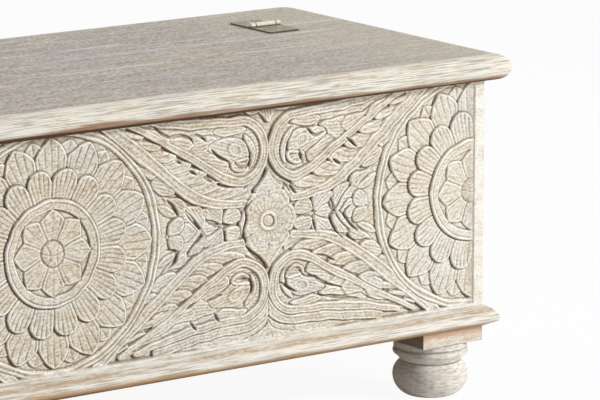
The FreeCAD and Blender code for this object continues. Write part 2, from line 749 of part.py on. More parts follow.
# Floor of the chest: blocks that carry the feet, cleats between them, and three boards
def chestFloor():
    boards = ("front", "middle", "back")
    boardDepth = f"(2 * {innerHalfDepth} / {len(boards)})"
    z = (bodyUnder, floorUnder)
    spreadX = f"({innerHalfLength} - cornerBlockWidth)"
    spreadY = f"({innerHalfDepth} - cornerBlockWidth)"
    screwX = number(f"{innerHalfLength} - cleatWidth / 2")
    screwYs = [
        number(f"{innerHalfDepth} - postWidth - screwInset"),
        number(f"{boardDepth} / 2 + screwInset"),
        number(f"{boardDepth} / 2 - screwInset"),
    ]
    spots = [
        (sideX * screwX, sideY * y, number(floorTop))
        for name, sideX, sideY in boxCorners for y in screwYs
    ]
    screws, holes = screwGroup(
        "bottom_screws", spots, "woodScrewHead", "woodScrewShank", "floorScrewLength")
    pieces = [screws]
    for index, name in enumerate(boards):
        start = f"({boardDepth} * {index} - {innerHalfDepth})"
        plank = box(f"{name}Plank", (f"-{innerHalfLength}", innerHalfLength),
                    (start, f"{start} + {boardDepth}"), (floorUnder, floorTop))
        pieces.append(combine("Cut", f"bottom_board_{name}", plank, holes))
    for name, side in (("front", -1), ("back", 1)):
        y = inwards(side, innerHalfDepth, "cleatWidth")
        pieces.append(box(f"bottom_cleat_{name}", (f"-{spreadX}", spreadX), y, z))
    for name, side in (("left", -1), ("right", 1)):
        x = inwards(side, innerHalfLength, "cleatWidth")
        strip = box(f"{name}Strip", x, (f"-{spreadY}", spreadY), z)
        pieces.append(combine("Cut", f"bottom_cleat_{name}", strip, holes))
    bolts = []
    for name, sideX, sideY in boxCorners:
        x, y = f"{sideX} * {footCentreX}", f"{sideY} * {footCentreY}"
        block = box(f"{name}Block", inwards(sideX, innerHalfLength, "cornerBlockWidth"),
                    inwards(sideY, innerHalfDepth, "cornerBlockWidth"), z)
        bore = doc.addObject("Part::Cylinder", f"{name}Bore")
        bind(bore, Radius="footBoltRadius + boltClearance", Height="cleatHeight")
        place(bore, x, y, bodyUnder)
        tools = gather("Compound", f"{name}BlockHoles", [bore, holes])
        pieces.append(combine("Cut", f"corner_block_{name}", block, tools))
        bolt = doc.addObject("Part::Cylinder", f"{name}Bolt")
        bind(bolt, Radius="footBoltRadius", Height="footBoltLength")
        bolts.append(place(bolt, x, y, f"{bodyUnder} - footBoltInFoot"))
        pieces.append(foot(f"foot_{name}", x, y))
    pieces.append(gather("Compound", "foot_bolts", bolts))
    return pieces


def plinth():
    return [
        moulding("plinth_moulding_front", "bodyLength", 0, y=f"-{halfDepth}"),
        moulding("plinth_moulding_back", "bodyLength", 180, y=halfDepth),
        moulding("plinth_moulding_left", "bodyDepth", -90, x=f"-{halfLength}"),
        moulding("plinth_moulding_right", "bodyDepth", 90, x=halfLength),
    ]


# One leaf of a hinge. The box leaf reaches back and holds the long knuckle; the lid leaf
# reaches forward and holds the two end knuckles.
def hingeLeaf(label, middle, reach, knuckles, screwHoles):
    def across(near, far):
        if reach > 0:
            return f"{seamY} + {near}", f"{seamY} + {far}"
        return f"{seamY} - {far}", f"{seamY} - {near}"

    z = (topSurface, f"{topSurface} + leafThickness")
    cutback = "(knuckleRadius + leafCutback)"
    ends = (f"{middle} - hingeLength / 2", f"{middle} + hingeLength / 2")
    forms = [box(f"{label}Plate", ends, across(cutback, "hingeReach"), z)]
    for index, (start, end) in enumerate(knuckles):
        tongue = across("0", f"({cutback} + leafCutback)")
        forms.append(box(f"{label}Tongue{index}", (start, end), tongue, z))
        forms.append(barrel(f"{label}Knuckle{index}", start, end, "knuckleRadius"))
    bore = barrel(f"{label}Bore", f"{ends[0]} - overrun", f"{ends[1]} + overrun",
                  "pinRadius + pinClearance")
    solid = gather("MultiFuse", f"{label}Solid", forms)
    return combine("Cut", label, solid, gather("Compound", f"{label}Holes", [bore, screwHoles]))


def barrel(label, start, end, radius):
    item = doc.addObject("Part::Cylinder", label)
    item.Placement = FreeCAD.Placement(FreeCAD.Vector(0, 0, 0), FreeCAD.Rotation(FreeCAD.Vector(0, 1, 0), 90))
    bind(item, Radius=radius, Height=f"{end} - ({start})")
    return place(item, start, seamY, hingeAxisZ)


# Top: the fixed strip, the two lid boards, the battens, and both hinges with their screws
def chestTop():
    pieces = []
    leafScrews = {}
    layout = (
        ("-leafScrewSpread / 2", "leafScrewNear"),
        ("leafScrewSpread / 2", "leafScrewNear"),
        ("0", "leafScrewFar"),
    )
    height = number(f"{topSurface} + leafThickness")
    for name, reach in (("box", 1), ("lid", -1)):
        spots = [
            (number(f"{side} * {hingeOffset} + {x}"), number(f"{seamY} + {reach} * {y}"), height)
            for side in (-1, 1) for x, y in layout
        ]
        leafScrews[name] = screwGroup(
            f"{name}_leaf_screws", spots, "leafScrewHead", "leafScrewShank", "leafScrewLength")
        pieces.append(leafScrews[name][0])

    pins = []
    for name, side in (("left", -1), ("right", 1)):
        middle = f"{side} * {hingeOffset}"
        start, end = f"({middle} - hingeLength / 2)", f"({middle} + hingeLength / 2)"
        startInner, endInner = f"({start} + endKnuckleLength)", f"({end} - endKnuckleLength)"
        endKnuckles = [(start, startInner), (endInner, end)]
        longKnuckle = [(f"{startInner} + knuckleGap", f"{endInner} - knuckleGap")]
        for leaf, reach, knuckles in (("box", 1, longKnuckle), ("lid", -1, endKnuckles)):
            label = f"hinge_{name}_{leaf}_leaf"
            pieces.append(hingeLeaf(label, middle, reach, knuckles, leafScrews[leaf][1]))
        pins.append(barrel(f"{name}Pin", f"{start} - pinProud", f"{end} + pinProud", "pinRadius"))
    pieces.append(gather("Compound", "hinge_pins", pins))

    joint = f"({seamY} - seamGap / 2 - lidRearBoardDepth)"
    battenY = (f"(battenFrontGap - {innerHalfDepth})", f"({seamY} - seamRailReach - battenRearGap)")
    battenZ = (f"({lidUnder} - battenThickness)", lidUnder)
    battens = (("left", -1), ("middle", 0), ("right", 1))
    screwYs = [
        f"{battenY[0]} + screwInset", f"{joint} - screwInset",
        f"{joint} + screwInset", f"{battenY[1]} - screwInset",
    ]
    spots = [
        (number(f"{side} * battenSpacing"), number(y), number(battenZ[0]))
        for name, side in battens for y in screwYs
    ]
    screws, holes = screwGroup(
        "batten_screws", spots, "woodScrewHead", "woodScrewShank", "battenScrewLength", upwards=True)
    pieces.append(screws)
    for name, side in battens:
        middle = f"{side} * battenSpacing"
        x = (f"({middle} - battenWidth / 2)", f"({middle} + battenWidth / 2)")
        strip = box(f"{name}Batten", x, battenY, battenZ)
        pieces.append(combine("Cut", f"lid_batten_{name}", strip, holes))

    lidZ, stripY = (lidUnder, topSurface), (f"{seamY} + seamGap / 2", topHalfDepth)
    frontSlab = topBoard("lidFrontSlab", (f"-{topHalfDepth}", joint), lidZ, ("front",))
    rearSlab = topBoard("lidRearSlab", (joint, f"{seamY} - seamGap / 2"), lidZ, ())
    strip = topBoard("backStrip", stripY, (panelTop, topSurface), ("back",))
    rearHoles = gather("Compound", "lidRearHoles", [holes, leafScrews["lid"][1]])
    pieces.append(combine("Cut", "lid_front_board", frontSlab, holes))
    pieces.append(combine("Cut", "lid_rear_board", rearSlab, rearHoles))
    pieces.append(combine("Cut", "back_top_board", strip, leafScrews["box"][1]))
    pieces.append(box("seam_rail", (f"-{innerHalfLength}", innerHalfLength),
                      (f"{seamY} - seamRailReach", f"{seamY} - seamRailReach + seamRailDepth"),
                      (f"{panelTop} - seamRailHeight", panelTop)))
    return pieces


nodes = [frontPanel(), *boxPanels(), *cornerPosts(), *chestFloor(), *plinth(), *chestTop()]
doc.recompute()

for item in doc.Objects:
    if "Invalid" in item.State or "Error" in item.State:
        raise RuntimeError(f"{item.Label} did not compute: {item.State}")
for node in nodes:
    if node.Shape.isNull() or not node.Shape.isValid() or not node.Shape.Solids:
        raise RuntimeError(f"{node.Label} has no valid solid")
    node.Shape.exportStep(f"parts/{node.Label}.step")
    print(f"{node.Label}: {len(node.Shape.Solids)} solid, {node.Shape.Volume:.0f} mm3")
print(f"{len(nodes)} pieces")
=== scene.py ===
import math
import time
from functools import partial

import bpy
import numpy as np
from mathutils import Matrix, Vector


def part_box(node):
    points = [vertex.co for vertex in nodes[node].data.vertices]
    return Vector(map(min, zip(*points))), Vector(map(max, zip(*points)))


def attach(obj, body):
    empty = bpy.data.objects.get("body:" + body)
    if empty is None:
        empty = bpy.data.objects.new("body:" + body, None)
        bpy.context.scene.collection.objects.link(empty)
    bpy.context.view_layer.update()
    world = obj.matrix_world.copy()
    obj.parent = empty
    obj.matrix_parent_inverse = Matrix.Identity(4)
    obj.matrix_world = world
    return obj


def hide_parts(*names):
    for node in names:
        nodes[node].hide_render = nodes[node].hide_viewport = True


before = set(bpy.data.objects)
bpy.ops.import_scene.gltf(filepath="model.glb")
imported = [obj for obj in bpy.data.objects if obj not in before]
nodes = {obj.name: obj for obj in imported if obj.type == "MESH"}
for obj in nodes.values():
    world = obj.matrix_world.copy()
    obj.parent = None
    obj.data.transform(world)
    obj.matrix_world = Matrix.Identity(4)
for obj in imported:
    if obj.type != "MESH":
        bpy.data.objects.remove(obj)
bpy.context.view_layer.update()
mm = 0.001
started = time.time()


def report(stage):
    print(f"{stage} ({time.time() - started:.1f} s)")


def intoScene(name, data):
    thing = bpy.data.objects.new(name, data)
    bpy.context.scene.collection.objects.link(thing)
    return thing


def toLinear(hexColour):
    parts = [int(hexColour[i:i + 2], 16) / 255 for i in (1, 3, 5)]
    return tuple(p / 12.92 if p <= 0.04045 else ((p + 0.055) / 1.055) ** 2.4 for p in parts) + (1.0,)


# short names for the nodes that are used most: Blender's own name, the settings, the inputs that the values
# fill in turn, and the output that is used
nodeKinds = {
    "add": ("ShaderNodeMath", {"operation": "ADD"}, (0, 1), 0),
    "subtract": ("ShaderNodeMath", {"operation": "SUBTRACT"}, (0, 1), 0),
    "multiply": ("ShaderNodeMath", {"operation": "MULTIPLY"}, (0, 1), 0),
    "larger": ("ShaderNodeMath", {"operation": "MAXIMUM"}, (0, 1), 0),
    "unsigned": ("ShaderNodeMath", {"operation": "ABSOLUTE"}, (0,), 0),
    # share, colour, colour
    "mix": ("ShaderNodeMix", {"data_type": "RGBA"}, (0, 6, 7), 2),
    # value, low, high, start, end: goes from start to end as the value goes from low to high
    "fade": ("ShaderNodeMapRange", {"interpolation_type": "SMOOTHSTEP"},
             ("Value", "From Min", "From Max", "To Min", "To Max"), 0),
    "mark": ("ShaderNodeAttribute", {}, (), 2),
    "objectPlace": ("ShaderNodeTexCoord", {}, (), 3),
}


def addNode(tree, kind, *values, output=None, **settings):
    name, common, inputs, usual = nodeKinds.get(kind, (kind, {}, (), 0))
    node = tree.nodes.new(name)
    for setting, value in {**common, **settings}.items():
        setattr(node, setting, value)
    given = dict(zip(inputs, values)) if inputs else values[0] if values else {}
    for socket, value in given.items():
        for item in value if isinstance(value, list) else [value]:      # a list links several to one socket
            if isinstance(item, bpy.types.NodeSocket):
                tree.links.new(item, node.inputs[socket])
            else:
                node.inputs[socket].default_value = toLinear(item) if isinstance(item, str) else item
    return node.outputs[usual if output is None else output] if node.outputs else node


def emptied(owner):         # clears a material's or the world's nodes, and gives what adds one to it
    owner.use_nodes = True
    owner.node_tree.nodes.clear()
    return partial(addNode, owner.node_tree)


# camera, standing where the photograph was taken from
camera = {
    "place": (-2.0835, -3.5544, 1.1268),
    "right": (0.8146, -0.5800, 0.0),
    "up": (0.1203, 0.1690, 0.9783),
    "focalPixels": 3963.8,      # for a picture of pictureWidth
    "pictureWidth": 600,
    "sensorWidth": 36.0,
    "clip": (0.1, 60),
}


def makeCamera():
    data = bpy.data.cameras.new("studio_camera")
    data.sensor_width = camera["sensorWidth"]
    data.lens = camera["focalPixels"] / camera["pictureWidth"] * camera["sensorWidth"]
    data.clip_start, data.clip_end = camera["clip"]
    viewer = intoScene("studio_camera", data)
    right = Vector(camera["right"]).normalized()
    up = Vector(camera["up"])
    up = (up - right * up.dot(right)).normalized()
    turn = Matrix((right, up, right.cross(up))).transposed()
    viewer.matrix_world = Matrix.Translation(camera["place"]) @ turn.to_4x4()
    bpy.context.scene.camera = viewer


# studio: white floor, one soft light from the front right, and three weaker ones that open up its shadows,
# from above, from behind and from the left
studio = {
    "floorColour": "#F7F6F4", "floorSize": 24.0, "floorWhite": 0.93, "seenWhite": "#FFFFFF",
    "worldColour": "#FFFFFF", "worldLight": 0.32,
    "lights": (
        # name, where it stands, width, watts
        ("key_light", (3.1, -3.3, 2.0), 0.9, 152.0),
        ("top_fill", (0.6, 0.3, 3.6), 1.6, 22.0),
        ("back_fill", (-2.4, 3.4, 2.4), 2.4, 60.0),
        ("left_fill", (-3.6, -1.6, 1.8), 2.0, 7.0),
    ),
    "aim": (0.1, 0.0, 0.2),
}


def seenDirectly(add):      # 1 for the camera and for what shows in metal or glass
    path = add("ShaderNodeLightPath").node.outputs
    seen = add("larger", path["Is Camera Ray"], path["Is Glossy Ray"])
    return add("larger", seen, path["Is Transmission Ray"])


def makeStudio():
    world = bpy.data.worlds.new("studio_air")
    add = emptied(world)
    light = add("ShaderNodeBackground", {"Color": studio["worldColour"], "Strength": studio["worldLight"]})
    white = add("ShaderNodeBackground", {"Color": studio["seenWhite"]})
    both = add("ShaderNodeMixShader", {0: seenDirectly(add), 1: light, 2: white})
    add("ShaderNodeOutputWorld", {"Surface": both})
    bpy.context.scene.world = world

    material = bpy.data.materials.new("white_paper_floor")
    add = emptied(material)
    paper = add("ShaderNodeBsdfDiffuse", {"Color": studio["floorColour"]})
    glow = add("ShaderNodeEmission", {"Color": studio["seenWhite"]})
    share = add("multiply", seenDirectly(add), studio["floorWhite"])
    both = add("ShaderNodeMixShader", {0: share, 1: paper, 2: glow})
    add("ShaderNodeOutputMaterial", {"Surface": both})
    half = studio["floorSize"] / 2
    mesh = bpy.data.meshes.new("studio_floor")
    square = [(-half, -half, 0), (half, -half, 0), (half, half, 0), (-half, half, 0)]
    mesh.from_pydata(square, [], [(0, 1, 2, 3)])
    mesh.materials.append(material)
    intoScene("studio_floor", mesh)

    for name, place, width, watts in studio["lights"]:
        data = bpy.data.lights.new(name, "AREA")
        data.shape, data.size, data.energy = "DISK", width, watts
        aim = Vector(studio["aim"]) - Vector(place)
        turn = aim.to_track_quat("-Z", "Y").to_matrix().to_4x4()
        intoScene(name, data).matrix_world = Matrix.Translation(place) @ turn


bpy.context.scene.view_settings.view_transform = "Standard"
makeCamera()
makeStudio()
report("camera and studio")


# mango wood with a brushed-on limewash: matt and chalky where the wash lies, tan where it is rubbed off, with
# open pores. Real pores are a tenth of a millimetre wide, and are drawn ten times coarser, or none would show.
# Sizes are in mm, along the grain and twice across it
wash = {
    "washWarm": "#E2DACA", "washCool": "#DEDBD3", "bright": "#F5F2EA", "woodPale": "#D4C5AA",
    "woodDark": "#C2AC8A", "raw": "#A9794D", "pores": "#8B7C66",
    "streak": (150.0, 6.0, 6.0), "fibre": (22.0, 1.9, 1.9), "patch": (80.0, 34.0, 34.0),
    "mottle": (8.0, 5.0, 5.0), "speckle": (40.0, 1.1, 1.1),
    # how thick the wash lies and how it varies, where it hides the wood, and where it is rubbed off
    "cover": 0.66, "streakPull": 0.6, "fibrePull": 0.45, "patchPull": 0.6,
    "hiding": (0.12, 0.78), "bare": (-0.45, -0.02),
    "woodTones": (0.36, 0.64), "chalkTones": (0.38, 0.62),
    "poreRange": (0.36, 0.46), "speckRange": (0.40, 0.48), "brightRange": (0.50, 0.58),
    "poreShare": 0.34, "speckShare": 0.52, "brightShare": 0.50,
    "roughness": (0.62, 0.84), "ior": 1.5, "specular": 0.3,
    "bump": 0.25, "bumpDepth": 0.35, "bumpOf": (0.7, 0.5),      # depth in mm, shares of fibre and streak
}
patterns = {    # detail, roughness, shift and warp of each
    "streak": (3.0, 0.6, (0.0, 0.0, 0.0), 0.6),
    "fibre": (3.0, 0.65, (7.1, 3.3, 5.9), 0.3),
    "patch": (2.0, 0.5, (2.7, 8.1, 4.4), 0.0),
    "speckle": (2.0, 0.55, (9.1, 4.2, 6.6), 0.0),
    "mottle": (3.0, 0.6, (5.5, 1.2, 9.3), 0.0),
}


def grainAlong(axis, size):
    return {"x": size, "y": (size[1], size[0], size[2]), "z": (size[1], size[2], size[0])}[axis]


def cloudy(add, size, detail=2.0, rough=0.5, shift=(0.0, 0.0, 0.0), warp=0.0):      # a pattern of a real size
    scale = tuple(1 / (s * mm) for s in size)
    where = add("ShaderNodeMapping", {"Vector": add("objectPlace"), "Scale": scale, "Location": shift})
    return add("ShaderNodeTexNoise", {"Vector": where, "Scale": 1.0, "Detail": detail, "Roughness": rough,
                                      "Distortion": warp})


def coord(add, axis):       # one object coordinate, in metres
    return add("ShaderNodeSeparateXYZ", {0: add("objectPlace")}, output="xyz".index(axis))


def limewashedMango(name, axis, changes, shading=None):
    look = {**wash, **changes}
    material = bpy.data.materials.new(name)
    add = emptied(material)
    kinds = ("streak", "fibre", "patch", "speckle")
    streak, fibre, patch, speckle = [cloudy(add, grainAlong(axis, look[k]), *patterns[k]) for k in kinds]
    mottle = cloudy(add, look["mottle"], *patterns["mottle"])
    cover = look["cover"]
    for field, pull in ((streak, "streakPull"), (fibre, "fibrePull"), (patch, "patchPull"),
                        (mottle, "patchPull")):
        cover = add("add", cover, add("multiply", add("subtract", field, 0.5), look[pull]))
    covered = add("fade", cover, *look["hiding"])
    wood = add("mix", add("fade", streak, *look["woodTones"]), look["woodDark"], look["woodPale"])
    chalk = add("mix", add("fade", patch, *look["chalkTones"]), look["washWarm"], look["washCool"])
    raw = add("fade", cover, *look["bare"], 1.0, 0.0)
    colour = add("mix", raw, add("mix", covered, wood, chalk), look["raw"])
    pores = add("fade", fibre, *look["poreRange"], look["poreShare"], 0.0)
    colour = add("mix", pores, colour, look["pores"])
    specks = add("fade", speckle, *look["speckRange"], look["speckShare"], 0.0)
    colour = add("mix", specks, colour, look["pores"])
    bright = add("fade", speckle, *look["brightRange"], 0.0, look["brightShare"])
    colour = add("mix", bright, colour, look["bright"])
    if shading:
        colour = shading(add, colour, axis)
    ofFibre, ofStreak = look["bumpOf"]
    height = add("add", add("multiply", fibre, ofFibre), add("multiply", streak, ofStreak))
    depth = look["bumpDepth"] * mm
    bump = add("ShaderNodeBump", {"Height": height, "Strength": look["bump"], "Distance": depth})
    rough = add("fade", covered, 0.0, 1.0, *look["roughness"])
    shader = add("ShaderNodeBsdfPrincipled", {"Base Color": colour, "Roughness": rough, "Normal": bump,
                                              "IOR": look["ior"], "Specular IOR Level": look["specular"]})
    add("ShaderNodeOutputMaterial", {"Surface": shader})
    return material


# unfinished mango inside: sawn and sanded, straw to light brown, satin. The panels' inner faces are the same
inner = {
    "washWarm": "#D2B68C", "washCool": "#C9AC83", "woodPale": "#C6A478", "woodDark": "#A47E52",
    "pores": "#7A5A3A", "cover": 0.45, "roughness": (0.55, 0.66), "streak": (260, 9, 9),
    "fibre": (60, 2.4, 2.4), "poreShare": 0.2, "speckShare": 0.2, "brightShare": 0.0,
    "faces": (538, 168), "faceEdge": (0.2, 0.6),        # the panels' inner faces, mm from the middle
    "sawn": (420, 14, 14), "sawnPattern": (4.0, 0.62, (3.1, 1.7, 0.4), 0.8), "sawnTones": (0.36, 0.64),
}


def sawn(add, axis):
    streak = cloudy(add, grainAlong(axis, inner["sawn"]), *inner["sawnPattern"])
    return add("mix", add("fade", streak, *inner["sawnTones"]), inner["woodDark"], inner["washWarm"])


def bareInside(add, colour, axis):
    out = [add("subtract", add("unsigned", coord(add, way)), face * mm)
           for way, face in zip("xy", inner["faces"])]
    start, end = inner["faceEdge"]
    inward = add("fade", add("larger", *out), start * mm, end * mm, 1.0, 0.0)
    return add("mix", inward, colour, sawn(add, axis))


# the plain panels, washed with long even strokes
plain = {"streak": (260, 9, 9), "fibre": (70, 2.4, 2.4), "speckle": (60, 1.4, 1.4), "patchPull": 0.45,
         "poreShare": 0.22, "speckShare": 0.3, "brightShare": 0.3}

# the carved front: a painted highlight on the arrises, painted shade in the fine cuts, painted shadow on each
# form's left, and in the deep pits painted shade with unwashed wood
carved = {
    "washWarm": "#DCD2BF", "washCool": "#D9D5CB", "cover": 0.56, "streakPull": 0.35, "fibrePull": 0.4,
    "speckle": (3.6, 2.0, 2.0), "speckShare": 0.36, "brightShare": 0.4,
    "ends": (0.34, 0.53, 0.0, 0.2), "endTone": "#F0EDE6",       # thicker towards the corners, in metres
    "rubbing": ((16, 16, 16), 2.0, 0.6, (2.2, 2.2, 7.7)), "rubbed": (0.40, 0.58),
    "marks": (
        # name, its share where least and most rubbed, tone
        ("arris", 0.5, 1.0, "#FFFDF8"), ("vein", 0.85, 0.6, "#7C6A52"), ("hollow", 0.88, 0.88, "#644A32"),
    ),
}


def carvedShading(add, colour, axis):
    ends = add("fade", add("unsigned", coord(add, "x")), *carved["ends"])
    colour = add("mix", ends, colour, carved["endTone"])
    rubbed = add("fade", cloudy(add, *carved["rubbing"]), *carved["rubbed"])
    # the marks paint into the colour: a highlight on the arrises, shade in the fine cuts and pits, and shadow
    # on each form's left
    for mark, least, most, tone in carved["marks"]:
        share = add("multiply", add("mark", attribute_name=mark), add("fade", rubbed, 0, 1, least, most))
        colour = add("mix", share, colour, tone)
    return bareInside(add, colour, axis)


# the mouldings: washed most thickly, and rubbed through in specks along the quirk and wholly on the lower
# edge, whose lowest band also carries painted shade. Heights are in mm
moulded = {
    "washWarm": "#EAE3D6", "washCool": "#E8E5DE", "cover": 0.72,
    "ragged": ((46, 46, 9), 3.0, 0.6), "raggedReach": 5.0,
    "quirkHeight": 99.8, "quirk": (0.4, 3.2, 0.85, 0.0), "quirkTone": "#BE9D74",
    "quirkSpecks": ((7.0, 7.0, 2.0), 3.0, 0.7), "quirkSpeckRange": (0.36, 0.60, 0.25, 1.0),
    "quirkPatches": ((120, 120, 60), 2.0, 0.6), "quirkPatchRange": (0.36, 0.56, 0.35, 1.0),
    "wornFrom": -0.2, "wornSlope": 9.0, "wornShare": 0.85,      # the worn edge narrows to the right
    # worn wood along the lower edge; the lowest, darker band also stands for painted shade under the moulding
    "worn": ((88.0, 94.5, "#B08655"), (83.0, 87.0, "#6E4E31")),
}


def mouldedShading(add, colour, axis):
    z = add("multiply", coord(add, "z"), 1 / mm)
    z = add("add", z, add("multiply", cloudy(add, *moulded["ragged"]), moulded["raggedReach"]))
    away = add("unsigned", add("subtract", z, moulded["quirkHeight"]))
    specks = add("fade", cloudy(add, *moulded["quirkSpecks"]), *moulded["quirkSpeckRange"])
    patches = add("fade", cloudy(add, *moulded["quirkPatches"]), *moulded["quirkPatchRange"])
    share = add("multiply", add("fade", away, *moulded["quirk"]), add("multiply", specks, patches))
    colour = add("mix", share, colour, moulded["quirkTone"])
    rightward = add("multiply", add("larger", coord(add, "x"), moulded["wornFrom"]), moulded["wornSlope"])
    z = add("add", z, rightward)
    # the worn lower edge, darkest at the bottom, where painted shade is added
    for low, high, tone in moulded["worn"]:
        colour = add("mix", add("fade", z, low, high, moulded["wornShare"], 0.0), colour, tone)
    return colour


# the turned feet: painted shade on the side towards the chest's middle, darkest on the unwashed block, and in
# the grooves. Heights are in mm
footed = {
    "washWarm": "#E9E6E0", "washCool": "#E4E3E1", "speckle": (1.4, 10.0, 10.0), "fibre": (3.0, 5.0, 5.0),
    "speckShare": 0.28, "poreShare": 0.25,
    "rings": ((30, 30, 5), 3.0, 0.6),
    "ringTones": ((0.52, 0.64, 0.0, 0.35, "#C6AE90"), (0.32, 0.40, 0.2, 0.0, "#A6A19B")),
    "stain": (73.0, 80.0, 0.0, 0.7), "stainWander": 9.0, "stainTone": "#BC8D5F",        # under the moulding
    "block": (61.0, 62.5), "blockShare": 0.28, "blockTone": "#C2A98C",
    "inward": (478.0, 500.0, 0.5, 0.0), "inwardShade": "#6F655C",
    "blockInward": (478.2, 479.0, 0.85, 0.0), "blockInwardShadeAndBareWood": "#4E3B2A",
    "grooves": ((54.3, 1.0), (38.8, 1.6), (61.6, 0.8)), "grooveShare": 0.8, "grooveShadeTone": "#5F5142",
}


def footShading(add, colour, axis):
    x = add("multiply", add("unsigned", coord(add, "x")), 1 / mm)
    z = add("multiply", coord(add, "z"), 1 / mm)
    block = add("fade", z, *footed["block"])
    rings = cloudy(add, *footed["rings"])
    for *ring, tone in footed["ringTones"]:
        colour = add("mix", add("fade", rings, *ring), colour, tone)
    stain = add("fade", add("add", z, add("multiply", rings, footed["stainWander"])), *footed["stain"])
    colour = add("mix", stain, colour, footed["stainTone"])
    colour = add("mix", add("multiply", block, footed["blockShare"]), colour, footed["blockTone"])
    # painted shade on the side towards the chest's middle
    inward = add("multiply", add("fade", x, *footed["inward"]), add("subtract", 1.0, block))
    colour = add("mix", inward, colour, footed["inwardShade"])
    # the block's inner face: unwashed wood darkened further by painted shade
    inward = add("multiply", add("fade", x, *footed["blockInward"]), block)
    colour = add("mix", inward, colour, footed["blockInwardShadeAndBareWood"])
    # painted shade in the grooves
    for height, width in footed["grooves"]:
        away = add("unsigned", add("subtract", z, height))
        grooveShade = add("fade", away, 0.0, width, footed["grooveShare"], 0.0)
        colour = add("mix", grooveShade, colour, footed["grooveShadeTone"])
    return colour


# the top: wire-brushed and greyed, with the limewash left only on the rounded edge, which is worn to brown
# wood below, darkest at the bottom, where painted shade is added. Seen so low, only bands of 5 mm or more show
# across the grain, so the brushed lines are that wide
top = {
    "flat": (566.5, 196.5), "flatEdge": 0.8,    # half the flat part's length and depth, in mm
    "grey": "#B3AAA0", "greyWarm": "#BBB0A2", "greyCool": "#AFA9A5", "line": "#8A8077", "lime": "#D8D2C8",
    "endTone": "#CFC6B2", "seamTone": "#DCDFE0", "brown": "#8C6038", "umber": "#4C351F",
    # size, detail, roughness, shift, warp
    "streak": ((420, 14, 14), 4.0, 0.62, (3.1, 1.7, 0.4), 0.8),
    "broad": ((600, 70, 70), 2.0, 0.5, (8.8, 2.1, 0.4), 0.4),
    "fine": ((90, 6.5, 6.5), 3.0, 0.7, (1.3, 6.6, 0.2), 0.3),
    "grit": ((3.6, 5.5, 5.5), 2.0, 0.6, (5.2, 0.7, 3.9)),
    "hair": ((14, 4.5, 4.5), 2.0, 0.6, (2.9, 8.3, 1.1)),
    "caught": ((150, 30, 30), 2.0, 0.6, (6.2, 0.9, 2.2)),
    "wander": ((30, 30, 30), 3.0, 0.6), "wanderReach": 3.0,
    "worn": ((90, 90, 5), 3.0, 0.6), "wornLong": ((420, 420, 60), 1.0, 0.5, (0.3, 0.2, 0.1)),
    # low, high, start and end of each fade
    "broadRange": (0.36, 0.64), "greyRange": (0.40, 0.60, 0.0, 0.6), "limeRange": (0.58, 0.70, 0.0, 0.5),
    "lineRange": (0.38, 0.47), "lightRange": (0.53, 0.62), "endRange": (0.30, 0.58, 0.0, 0.35),
    "caughtRange": (0.42, 0.60),
    "lines": (("fine", 0.40, 0.40), ("hair", 0.32, 0.30), ("grit", 0.50, 0.50)),        # shares of dark, light
    "seams": ((90.0, 5.0, 0.85), (-33.75, 5.0, 0.6), (38.0, 9.0, 0.4)),     # place, width, share of lime
    "brownTop": 366.5, "brownFade": 4, "brownShare": 0.8, "brownRagged": 12.0,
    # the umber band on the lowest part of the rounded edge: dark worn wood and painted shade
    "umberTop": 361.9, "umberFade": 1.6, "umberRagged": 3.0,
    "wornFrom": -0.15, "wornSlope": 0.004,      # the worn edge narrows towards the right, metres per metre
    "under": (380, 381), "underEdge": (0.0, 1.0),       # the underside: below this height, in from this edge
}


def topShading(add, colour, axis):
    streak = cloudy(add, *top["streak"])
    broad = add("fade", cloudy(add, *top["broad"]), *top["broadRange"])
    grey = add("mix", broad, top["greyWarm"], top["greyCool"])
    grey = add("mix", add("fade", streak, *top["greyRange"]), grey, top["grey"])
    grey = add("mix", add("fade", streak, *top["limeRange"]), grey, top["lime"])
    for kind, dark, light in top["lines"]:
        lines = cloudy(add, *top[kind])
        grey = add("mix", add("fade", lines, *top["lineRange"], dark, 0.0), grey, top["line"])
        grey = add("mix", add("fade", lines, *top["lightRange"], 0.0, light), grey, top["lime"])
    ends = add("fade", add("unsigned", coord(add, "x")), *top["endRange"])
    grey = add("mix", ends, grey, top["endTone"])
    caught = add("fade", cloudy(add, *top["caught"]), *top["caughtRange"])
    for place, width, share in top["seams"]:
        away = add("unsigned", add("subtract", coord(add, "y"), place * mm))
        lime = add("multiply", add("fade", away, 0.0, width * mm, share, 0.0), caught)
        grey = add("mix", lime, grey, top["seamTone"])
    wander = add("multiply", add("subtract", cloudy(add, *top["wander"]), 0.5), top["wanderReach"] * mm)
    out = [add("subtract", add("unsigned", coord(add, way)), flat * mm)
           for way, flat in zip("xy", top["flat"])]
    out = add("add", add("larger", *out), wander)
    edge = top["flatEdge"] * mm
    colour = add("mix", add("fade", out, -edge, edge, 1.0, 0.0), colour, grey)

    worn = add("subtract", add("add", cloudy(add, *top["worn"]), cloudy(add, *top["wornLong"])), 1.0)
    slope = add("multiply", add("larger", coord(add, "x"), top["wornFrom"]), top["wornSlope"])
    z = add("add", coord(add, "z"), slope)
    ragged = add("add", z, add("multiply", worn, top["brownRagged"] * mm))
    high = top["brownTop"] * mm
    brown = add("fade", ragged, high - top["brownFade"] * mm, high, top["brownShare"], 0.0)
    colour = add("mix", brown, colour, top["brown"])
    # the darkest band, under the edge: worn wood with painted shade
    ragged = add("add", z, add("multiply", worn, top["umberRagged"] * mm))
    high = top["umberTop"] * mm
    umber = add("fade", ragged, high - top["umberFade"] * mm, high, 1.0, 0.0)
    colour = add("mix", umber, colour, top["umber"])
    below = add("fade", coord(add, "z"), *[level * mm for level in top["under"]], 1.0, 0.0)
    inward = add("fade", out, *[reach * mm for reach in top["underEdge"]], 1.0, 0.0)
    return add("mix", add("multiply", below, inward), colour, sawn(add, axis))
